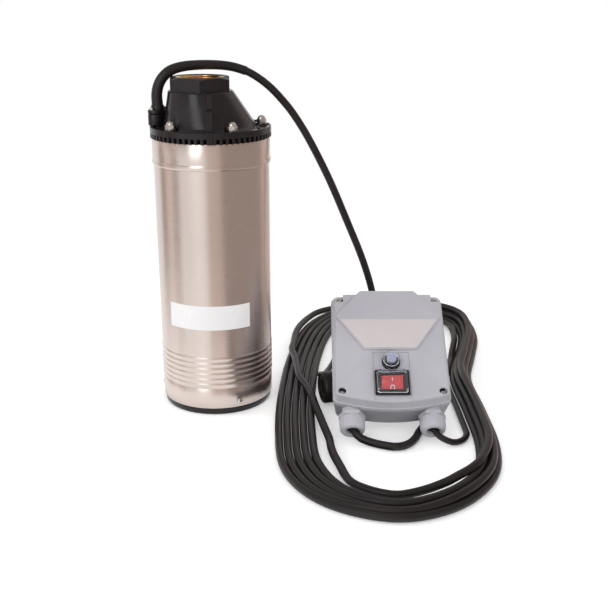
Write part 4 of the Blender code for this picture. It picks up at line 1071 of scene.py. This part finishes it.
def evaluatedMesh(obj, name):
    bpy.context.view_layer.update()
    graph = bpy.context.evaluated_depsgraph_get()
    mesh = bpy.data.meshes.new_from_object(obj.evaluated_get(graph))
    mesh.name = name
    return mesh


def boltPlaces():
    return [atAngle(pump["boltFirst"] + 72 * i, pump["boltCircle"]) for i in range(5)]


def stadium(count=12):
    # outline of the cable entry's pad and its plate
    half, radius = headForm["entryHalf"], headForm["entryWidth"] / 2
    turn, middle = math.radians(pump["entryTurn"]), pump["entryX"]
    points = []
    for end in (1, -1):
        for i in range(count + 1):
            angle = math.pi * (i / count - 0.5)
            x = end * (half - radius + radius * math.cos(angle))
            y = end * radius * math.sin(angle)
            across = middle + x * math.cos(turn) - y * math.sin(turn)
            points.append((across, x * math.sin(turn) + y * math.cos(turn)))
    return points


def coneRing(radius, z, count, centre):
    # round recesses in the cone's foot leave room for a spanner on each nut
    recess = headForm["recess"]
    loop = []
    for i in range(count):
        angle = math.tau * i / count
        toward = Vector((math.cos(angle), math.sin(angle)))
        reach = radius
        for place in boltPlaces():
            offset = Vector(place) - Vector(centre)
            along = offset.dot(toward)
            aside = (offset - toward * along).length
            if along > 0 and aside < recess:
                reach = min(reach, along - math.sqrt(recess**2 - aside**2))
        loop.append(Vector((centre[0] + reach * toward.x, centre[1] + reach * toward.y, z)))
    return loop


def coneInto(bm, top, centre, count=288):
    # slanted cone with a soft root and a soft shoulder
    foot, crown = headForm["coneFoot"], headForm["coneTop"]
    swells = [(0.0, 3.0), (0.02, 1.6), (0.05, 0.6), (0.09, 0.1), (0.2, 0), (0.5, 0), (0.8, 0)]
    wall = []
    for share, swell in swells + [(0.95, 0), (0.985, -0.25), (1.0, -0.9)]:
        z = top - 0.3 + (pump["coneTop"] - top + 0.3) * share
        radius = foot + (crown - foot) * share + swell
        wall.append(coneRing(radius, z, count, (centre[0] * share, 0)))
    wall.append(ringOf(26, pump["coneTop"], count, centre))
    wall.append(ringOf(22.6, 343, count, centre))
    wall.append(ringOf(43.5, top - 1.5, count))
    joinLoops(bm, wall, True)


def hexagonInto(bm, centre, count=216):
    # hexagon with rounded corners and a turned chamfer
    across, high, low = headForm["hexAcross"], pump["hexTop"], pump["coneTop"]
    cap = across / 2 / math.cos(math.radians(30)) - headForm["hexRound"] * 0.35
    start = math.radians(30 + headForm["hexTurn"])
    slope = -math.tan(math.radians(headForm["chamfer"]))
    bore = headForm["bore"]
    loops = [
        hexLoop(across, low - 0.9, count, cap, shrink=0.4, centre=centre, start=start),
        hexLoop(across, low - 0.5, count, cap, centre=centre, start=start),
        hexLoop(across, high, count, cap, headForm["land"], slope, centre=centre, start=start),
        ringOf(headForm["land"], high, count, centre, start),
        ringOf(bore, high, count, centre, start),
        ringOf(bore, headForm["boreEnd"], count, centre, start),
    ]
    joinLoops(bm, loops, True)


def makeHead():
    bm = bmesh.new()
    top, boss = pump["flangeTop"], pump["bossTop"]
    low, rim, deep = top - 3.3, headForm["rim"], headForm["spigotEnd"]
    centre = (pump["outletX"], 0.0)
    turnedInto(bm, [(43, low), (rim, low), (rim, top - 0.4), (rim - 0.4, top), (43, top)], 128)
    profile = [(45.8, deep), (50.0, deep), (50.0, 284.9), (53.3, 284.9), (53.3, low + 0.5)]
    turnedInto(bm, profile + [(45.8, low + 0.5)], 96)
    coneInto(bm, top, centre)
    hexagonInto(bm, centre)

    # front rib
    outline = [(30, 314.8), (62.6, 314.8), (62.6, 322.8), (54.6, 338.8), (41.5, 339.8)]
    outline = rounded(outline + [(36.8, 355.4), (30, 355.4)], 1.6)
    slabAcross(bm, outline, (46, 330), headForm["ribHalf"], 0.4, ribMatrix(), -1)

    # bosses under the nuts, with a small fillet
    profile = [(3.2, top - 1), (8.0, top - 1), (7.2, top + 0.3), (6.6, top + 0.9)]
    profile += [(6.4, top + 1.6), (6.3, boss - 0.3), (6.0, boss), (3.2, boss)]
    for place in boltPlaces():
        turnedInto(bm, profile, 32, True, Matrix.Translation((*place, 0)))

    # cable entry: stub and pad
    profile = [(4.6, top - 1), (6.6, top - 1), (6.6, top + 4), (4.6, top + 4)]
    turnedInto(bm, profile, 32, True, Matrix.Translation((pump["entryX"], 0, 0)))
    prismInto(bm, stadium(), pump["lipTop"] + 0.3, pump["entryTop"], 0.5)
    addPiece("dischargeHead", bm, blackMoulding, ("discharge_head",), 32)


threadForm = {"minor": 22.4, "major": 23.9, "outer": 27.5, "length": 25.0, "pitch": 2.309}


def makeOutletInsert():
    minor, major, outer = threadForm["minor"], threadForm["major"], threadForm["outer"]
    top, bottom = pump["hexTop"] - 0.6, pump["hexTop"] - threadForm["length"]
    profile = [(minor, bottom), (outer, bottom), (outer, top - 0.3), (outer - 0.3, top)]
    profile += [(major + 0.8, top), (major + 0.2, top - 0.5)]
    z = top - 1.0
    while z > bottom + 3:  # thread, 11 to the inch
        profile += [(major, z), (minor, z - 1.15)]
        z -= threadForm["pitch"]
    bm = bmesh.new()
    turnedInto(bm, profile, 144, True, Matrix.Translation((pump["outletX"], 0, 0)))
    addPiece("outletInsert", bm, brassTurned, ("outlet_insert",), 25)


nutForm = {"across": 10.0, "height": 4.2, "dome": 4.1, "washer": 6.1, "rod": 3.0, "rodEnd": 168.8}


def acornInto(bm, low, matrix, count=72):
    across, high = nutForm["across"], low + nutForm["height"]
    wide, narrow, dome = across * 0.49, across * 0.48, across * 0.455
    loops = [
        hexLoop(across, low, count, cap=wide),
        hexLoop(across, low, count, limit=wide, slope=0.6),
        hexLoop(across, high, count, limit=narrow, slope=-0.6),
        hexLoop(across, high, count, cap=narrow),
        ringOf(dome, high + 0.1, count),
    ]
    for share in (0.25, 0.5, 0.7, 0.85, 0.95, 0.995):
        z = high + 0.1 + nutForm["dome"] * share * 0.92
        loops.append(ringOf(dome * math.sqrt(1 - share * share), z, count))
    nut = bmesh.new()
    joinLoops(nut, loops)
    addTo(bm, nut, matrix)


def makeNuts():
    bm = bmesh.new()
    base = pump["bossTop"] + 0.25
    low, washer, rod, end = base + 0.7, nutForm["washer"], nutForm["rod"], nutForm["rodEnd"]
    for number, place in enumerate(boltPlaces()):
        turn = Matrix.Rotation(math.radians(17 * number), 4, "Z")
        shift = Matrix.Translation((*place, 0)) @ turn
        turnedInto(bm, [(3.2, base), (washer, base), (washer, low), (3.2, low)], 32, True, shift)
        acornInto(bm, low, shift)
        profile = [(0.01, end), (rod, end), (rod, base + 1), (0.01, base + 1)]
        turnedInto(bm, profile, 16, False, shift)
    addPiece("acornNuts", bm, fastenerSteel, numbered("tie_bolt", 5), 30)


def makeEntry():
    base = pump["entryTop"] + 0.3
    bm = bmesh.new()
    prismInto(bm, stadium(16), base, base + 4.5, 0.7)
    collar = [(5.0, base + 3), (7.4, base + 3), (7.0, base + 8.6), (6.4, base + 9.6), (5.0, base + 9.6)]
    shift = Matrix.Translation((pump["entryX"], 0, 0))
    turnedInto(bm, rounded(collar, 0.5, 3), 48, True, shift)
    addPiece("glandPlate", bm, blackMoulding, ("gland_plate",))

    bm = bmesh.new()
    turn = math.radians(pump["entryTurn"])
    seat = base + 4.5
    profile = [(0.8, seat), (2.9, seat), (2.9, seat + 0.5), (0.8, seat + 0.5)]
    for reach in (-8.9, 8.9):
        x, y = pump["entryX"] + reach * math.cos(turn), reach * math.sin(turn)
        turnedInto(bm, profile, 28, True, Matrix.Translation((x, y, 0)))
        panHeadInto(bm, Matrix.Translation((x, y, seat + 0.5)), 2.6, 2.3)
    replaced = ("gland_screw_outer", "gland_screw_inner")
    addPiece("glandScrews", bm, fastenerSteel, replaced)


makeIntakeRing()
makeTeeth()
makeHead()
makeOutletInsert()
makeNuts()
makeEntry()
print("head and intake ring are made")


# control box, drawn flat: U across, V along from the gland end, T up from its back


def cornerArc(u, v, radius, start, steps=6):
    points = []
    for i in range(steps + 1):
        angle = math.radians(start + 90 * i / steps)
        points.append((u + radius * math.cos(angle), v + radius * math.sin(angle)))
    return points


def boxLevel(inset, t):
    corner = max(box["corner"] - inset * 0.5, 2)
    low, high, bow = inset, box["length"] - inset, box["bow"]
    reach = box["half"] - inset - corner
    outline = cornerArc(reach, high - corner, corner, 0) + cornerArc(-reach, high - corner, corner, 90)
    outline += cornerArc(-reach, low + corner, corner, 180)
    for i in range(1, 16):
        share = i / 8 - 1
        outline.append((share * reach, low - bow * (1 - share**2)))
    outline += cornerArc(reach, low + corner, corner, 270)
    return [Vector((u, v, t)) for u, v in outline]


def solid(loops, name):
    bm = bmesh.new()
    joinLoops(bm, loops)
    return linkObject(name, meshFrom(bm, name))


def carve(base, name, unions, cuts, bevel):
    tools = [(helper, "UNION") for helper in unions] + [(helper, "DIFFERENCE") for helper in cuts]
    for helper, operation in tools:
        modifier = base.modifiers.new(helper.name, "BOOLEAN")
        modifier.operation, modifier.object, modifier.solver = operation, helper, "EXACT"
    modifier = base.modifiers.new("softEdges", "BEVEL")
    modifier.width, modifier.segments = bevel * mm, 2
    modifier.limit_method, modifier.angle_limit = "ANGLE", math.radians(38)
    modifier.use_clamp_overlap = True
    mesh = evaluatedMesh(base, name)
    for helper in [*unions, *cuts, base]:
        bpy.data.objects.remove(helper)
    mesh.transform(boxMatrix)
    shadeSoftly(mesh, 35)
    return linkObject(name, mesh)


def bars(name, items, count=32):
    bm = bmesh.new()
    for radius, low, high, centre in items:
        joinLoops(bm, [ringOf(radius, z, count, centre) for z in (low, high)])
    return linkObject(name, meshFrom(bm, name))


def slab(name, outline, low, high, edge=0.0):
    bm = bmesh.new()
    prismInto(bm, outline, low, high, edge)
    return linkObject(name, meshFrom(bm, name))


def glandBar(name, radius, start, end):
    bm = bmesh.new()
    profile = [(0.01, 0), (radius, 0), (radius, start - end), (0.01, start - end)]
    for sign in (-1, 1):
        matrix = frameAt((sign * box["glandU"], start, box["glandT"]), (0, -1, 0))
        turnedInto(bm, profile, 48, False, matrix)
    return linkObject(name, meshFrom(bm, name))


def makeBoxBase():
    soft, draft, parting, wall = 1.2, box["draft"], box["parting"], box["wall"]
    levels = [(draft + soft, 0), (draft + soft * 0.35, soft * 0.35), (draft - 0.1, soft)]
    levels += [(0.25, parting - 2.4), (0, parting - 2.0), (0, parting), (wall, parting)]
    base = solid([boxLevel(*level) for level in levels + [(wall + draft, wall)]], "boxBaseRaw")
    pads = glandBar("pads", 10.8, 8, box["padEnd"])
    bores = glandBar("bores", 9.9, 20, box["padEnd"] - 5)
    piece = carve(base, "boxBase", (pads,), (bores,), box["soft"])
    finishPiece(piece, greyMoulding, ("box_base",))


# raised name field, left bare, with its outline and the rounding of its edge
fieldForm = {
    "outline": [(31, 140.9), (59.5, 105.5), (29, 60.5), (-29, 60.5), (-59.5, 105.5), (-31, 140.9)],
    "centre": (0, 100),
    "levels": [(0, -1.5), (0, 1.9), (0.4, 2.4), (1.2, box["fieldRise"])],
    "print": [(53.6, 100.4), (-53.6, 100.4), (-27.8, 62.8), (27.8, 62.8)],
}

# switch panel and the openings in the cover
openings = {
    "panel": (-20, 20, -14, 58),
    "panelDepth": 1.2,
    "switch": (-14.5, 14.5, 7, 30),
    "button": (7.3, 45),
    "well": 4.4,
    "drill": 2.3,
}


def coverScrews():
    half, length, depth = box["half"], box["length"], box["depth"]
    places = []
    for sign in (-1, 1):
        places.append((sign * (half - 9.5), 8.5, depth - 6))
        places.append((sign * (half - 9.0), length - 9, depth - 7.5))
    return places


def makeBoxCover():
    top, inner, low = box["depth"], box["wall"] + 1, box["parting"] + 0.3
    draft, middle, end = box["draft"], box["length"] / 2, box["length"] - 0.1
    levels = [(inner + draft, top - box["wall"]), (inner, low), (0.2, low), (0.1, low + 2.4)]
    levels += [(0.35, low + 2.9), (1.0, low + 3.2), (1.25, low + 3.8), (draft - 0.8, top - 2.4)]
    for turn in (20, 45, 70, 90):
        angle = math.radians(turn)
        inset = draft - 0.8 + 2.0 * (1 - math.cos(angle))
        levels.append((inset, top - 2.4 + 2.4 * math.sin(angle)))
    cover = solid([boxLevel(*level) for level in levels + [(draft + 4, top)]], "boxCoverRaw")

    field = []
    for inset, rise in fieldForm["levels"]:
        outline = rounded(drawnIn(fieldForm["outline"], fieldForm["centre"], inset), 2.0)
        field.append([Vector((u, v, top + rise)) for u, v in outline])
    plate = solid(field, "nameFieldRaw")
    outline = [(-31, end - 12), (-31, end - 1), (-30, end), (30, end), (31, end - 1), (31, end - 12)]
    brow = slab("fieldBrow", outline, low + 4, top + 1.0)

    places, wells, steps = coverScrews(), [], bmesh.new()
    for u, v, rest in places:
        if v < middle:
            wells.append((openings["well"], rest, top + 5, (u, v)))
            continue
        side = 1 if u > 0 else -1
        ends = sorted((u - side * 4.6, u + side * 20))
        prismInto(steps, rect(*ends, v - 5, v + 20, 1.5), rest, top + 8)
    drills = [(openings["drill"], low - 5, top + 5, (u, v)) for u, v, rest in places]
    radius, v = openings["button"]
    cuts = (
        bars("wells", wells),
        linkObject("cornerSteps", meshFrom(steps, "cornerSteps")),
        slab("panelTool", rect(*openings["panel"], 0.8), top - openings["panelDepth"], top + 8),
        slab("switchHole", rect(*openings["switch"]), top - 12, top + 5),
        bars("neckHole", [(radius, top - 12, top + 5, (0, v))]),
        bars("drills", drills, 20),
    )
    piece = carve(cover, "boxCover", (plate, brow), cuts, box["soft"])
    finishPiece(piece, greyMoulding, ("box_cover",))


def makePrintField():
    top = box["depth"] + box["fieldRise"]
    bm = bmesh.new()
    prismInto(bm, rounded(fieldForm["print"], 1.5), top - 0.05, top + 0.06)
    addPiece("printField", bm, finishes["printedField"], matrix=boxMatrix)


def makeCoverScrews():
    bm = bmesh.new()
    for number, (u, v, rest) in enumerate(coverScrews()):
        turn = Matrix.Rotation(math.radians(20 + 31 * number), 4, "Z")
        panHeadInto(bm, Matrix.Translation((u, v, rest + 0.2)) @ turn, 3.8, 2.5)
    replaced = numbered("cover_screw", 4)
    addPiece("coverScrews", bm, fastenerSteel, replaced, matrix=boxMatrix)


glandForm = {
    "across": 26.0,
    "corner": 14.7,
    "shank": 9.6,
    "neck": 8.4,
    "ribs": 30,
    # height, radius and depth of the fine ribs
    "drum": [
        (5.3, 13.4, 0.0), (5.9, 13.9, 0.55), (11.0, 13.9, 0.55), (15.5, 13.7, 0.5),
        (17.6, 13.4, 0.4), (19.0, 12.9, 0.2), (19.9, 12.2, 0.0), (20.3, 11.2, 0.0),
    ],
    "mouth": [(9.0, 20.3), (7.9, 20.0), (7.3, 19.2), (6.9, 17.5), (6.6, 16.0)],
}


def drumLoop(z, radius, flute, count):
    loop = []
    for i in range(count):
        angle = math.tau * i / count
        reach = radius - flute * (0.5 - 0.5 * math.cos(angle * glandForm["ribs"]))
        loop.append(Vector((reach * math.cos(angle), reach * math.sin(angle), z)))
    return loop


def makeGland(sign, side, form):
    bore = form["diameter"] / mm / 2 + 0.15
    shank, neck, count = glandForm["shank"], glandForm["neck"], 96
    place = Vector((sign * box["glandU"], box["padEnd"] - 0.3, box["glandT"])) * mm
    matrix = boxMatrix @ frameAt(place, (0, -1, 0))
    loops = [ringOf(radius, z, count) for radius, z in ((bore, -13), (shank, -13), (shank, 0))]
    for z, cut in ((0.0, 0.4), (0.5, 0.0), (4.5, 0.0), (5.0, 0.4)):
        loops.append(hexLoop(glandForm["across"], z, count, glandForm["corner"], shrink=cut))
    loops += [ringOf(radius, z, count) for radius, z in ((neck, 5), (neck, 14), (bore, 14))]
    bm = bmesh.new()
    joinLoops(bm, loops, True)
    replaced = ("gland_body_" + side,)
    addPiece("glandBody_" + side, bm, greyMoulding, replaced, 30, matrix)

    # nut: a finely ribbed drum with a wide mouth
    count = glandForm["ribs"] * 8
    loops = [ringOf(8.8, 5.3, count)] + [drumLoop(*row, count) for row in glandForm["drum"]]
    ends = [*glandForm["mouth"], (bore, 15.3), (8.8, 15.3)]
    bm = bmesh.new()
    joinLoops(bm, loops + [ringOf(radius, z, count) for radius, z in ends], True)
    replaced = ("gland_nut_" + side,)
    addPiece("glandNut_" + side, bm, greyMoulding, replaced, 40, matrix)

    bm = bmesh.new()
    turnedInto(bm, [(bore - 0.1, 15), (7.0, 15), (6.4, 16.4), (bore + 0.3, 16.6)], 64)
    addPiece("glandSeal_" + side, bm, cableJacket, matrix=matrix)


switchForm = {
    "width": 37.0,
    "length": 31.0,
    "rim": 2.6,
    "centre": 18.5,
    "deck": 45.6,
    "tilt": 11.0,
    "keyHalf": 12.0,
    "keyReach": 9.0,
    "capHeight": 7.0,
    "capWall": 0.9,
}


def makeSwitchFrame():
    deck, v = switchForm["deck"], switchForm["centre"]
    halfU, halfV = switchForm["width"] / 2, switchForm["length"] / 2
    outline = rect(-halfU, halfU, v - halfV, v + halfV, 1.2)
    raw = slab("frameRaw", outline, deck, deck + switchForm["rim"], 0.6)
    under = slab("under", rect(-14.2, 14.2, v - 11.2, v + 11.2), deck - 24, deck + 1)
    room = slab("room", rect(-12.5, 12.5, v - 10.5, v + 10.5, 0.5), deck - 12, deck + 10)
    piece = carve(raw, "switchFrame", (under,), (room,), 0.2)
    finishPiece(piece, blackSwitch, ("switch_housing",))


def makeRocker():
    lean = Matrix.Rotation(math.radians(switchForm["tilt"]), 4, "X")
    pivot = Matrix.Translation((0, switchForm["centre"], switchForm["deck"] - 3)) @ lean
    long = switchForm["keyReach"]
    outline = [(-long + 2.5, -3), (long - 2.5, -3), (long, 5.5), (long * 0.5, 4.35), (0, 3.9)]
    outline = rounded(outline + [(-long * 0.5, 4.35), (-long, 5.5)], 0.9)
    bm = bmesh.new()
    slabAcross(bm, outline, (0, 1.5), switchForm["keyHalf"], 0.5, pivot)
    addPiece("rockerKey", bm, redRocker, ("rocker",), 35, boxMatrix, "rocker")

    # plain on and off marks on the rocker
    bm = bmesh.new()
    prismInto(bm, rect(-0.45, 0.45, 2.4, 6.4), 4.0, 5.05, 0, pivot)
    ring = [(1.6, 3.9), (2.4, 3.9), (2.4, 5.15), (1.6, 5.15)]
    turnedInto(bm, ring, 32, True, pivot @ Matrix.Translation((0, -4.5, 0)))
    marks = finishes["whitePrint"]
    addPiece("rockerMarks", bm, marks, (), 35, boxMatrix, "rocker")


def makeSwitchCap():
    v, rest = switchForm["centre"], switchForm["deck"] + switchForm["rim"] + 0.3
    outerU, outerV = switchForm["width"] / 2 - 2, switchForm["length"] / 2 - 2
    dome, wall = switchForm["capHeight"], switchForm["capWall"]
    levels = [(wall + 2.4, dome - wall), (wall + 0.5, dome - wall - 1.2), (wall, 0), (0, 0), (0, 1.5)]
    levels += [(0.6, 4.8), (1.4, 6.4), (2.6, dome)]
    loops = []
    for inset, z in levels:
        a, b = outerU - inset, outerV - inset
        loops.append([Vector((u, w, rest + z)) for u, w in rect(-a, a, v - b, v + b, 3.2, 8)])
    bm = bmesh.new()
    joinLoops(bm, loops)
    addPiece("switchCap", bm, clearCover, ("switch_cap",), 45, boxMatrix)


resetForm = {"rim": 8.8, "wall": 0.9, "lift": 6.0, "high": 6.2}


def makeReset():
    deck = switchForm["deck"]
    shift = Matrix.Translation((0, openings["button"][1], 0))
    bm = bmesh.new()
    profile = [(4.5, deck - 18), (7.0, deck - 18), (7.0, deck), (10.0, deck), (10.0, deck + 1.2)]
    profile += [(9.6, deck + 1.8), (8.8, deck + 2.4), (4.5, deck + 2.5)]
    turnedInto(bm, profile, 72, True, shift)
    addPiece("cutoutRing", bm, blackSwitch, ("cutout_body",), 35, boxMatrix)

    low = deck + resetForm["lift"]
    bm = bmesh.new()
    profile = [(0.2, deck - 14), (4.0, deck - 14), (4.0, low + 1), (5.5, low + 1), (5.5, low + 3.6)]
    profile += [(5.0, low + 4.2), (3.4, low + 4.5), (0.2, low + 4.6)]
    turnedInto(bm, profile, 48, False, shift)
    tone, body = finishes["resetButtonPlastic"], "reset_button"
    addPiece("resetButton", bm, tone, (body,), 35, boxMatrix, body)

    rim, wall, high = resetForm["rim"], resetForm["wall"], low + resetForm["high"]
    profile = [(0.2, high - wall), (rim - 2.2, high - wall), (rim - 1.3, high - 1.4)]
    profile += [(rim - wall, high - 2.6), (rim - wall, low), (rim, low), (rim, high - 2.2)]
    profile += [(rim - 0.5, high - 1.1), (rim - 1.3, high - 0.35), (rim - 2.4, high), (0.2, high)]
    bm = bmesh.new()
    turnedInto(bm, profile, 64, False, shift)
    addPiece("resetCap", bm, clearCover, ("reset_cap",), 45, boxMatrix, body)


makeBoxBase()
makeBoxCover()
makePrintField()
makeCoverScrews()
makeGland(-1, "left", motorCord)
makeGland(1, "right", mainsCord)
makeSwitchFrame()
makeRocker()
makeSwitchCap()
makeReset()
print("control box is made")


# the solids that stay as they are

stages = ("suction_plate", *numbered("impeller", 3), *numbered("diffuser", 3))
insideFinish = [
    (barrelSteel, ("motor_can", "stage_casing")),
    (fastenerSteel, ("shaft", "shaft_nut", "bearing_lower", "bearing_upper")),
    (cableJacket, ("seal_ring",)),
    (finishes["whiteLabelFilm"], ("capacitor",)),
    (finishes["castBracket"], ("lower_bracket", "upper_bracket")),
    (finishes["sheetStack"], ("stator_core", "rotor_core")),
    (finishes["windingVarnish"], ("winding_lower", "winding_upper")),
    (finishes["stagePlastic"], stages),
]
for material, names in insideFinish:
    for name in names:
        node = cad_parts[name]
        node.data.materials.clear()
        node.data.materials.append(material)
print("inner solids have their finishes")
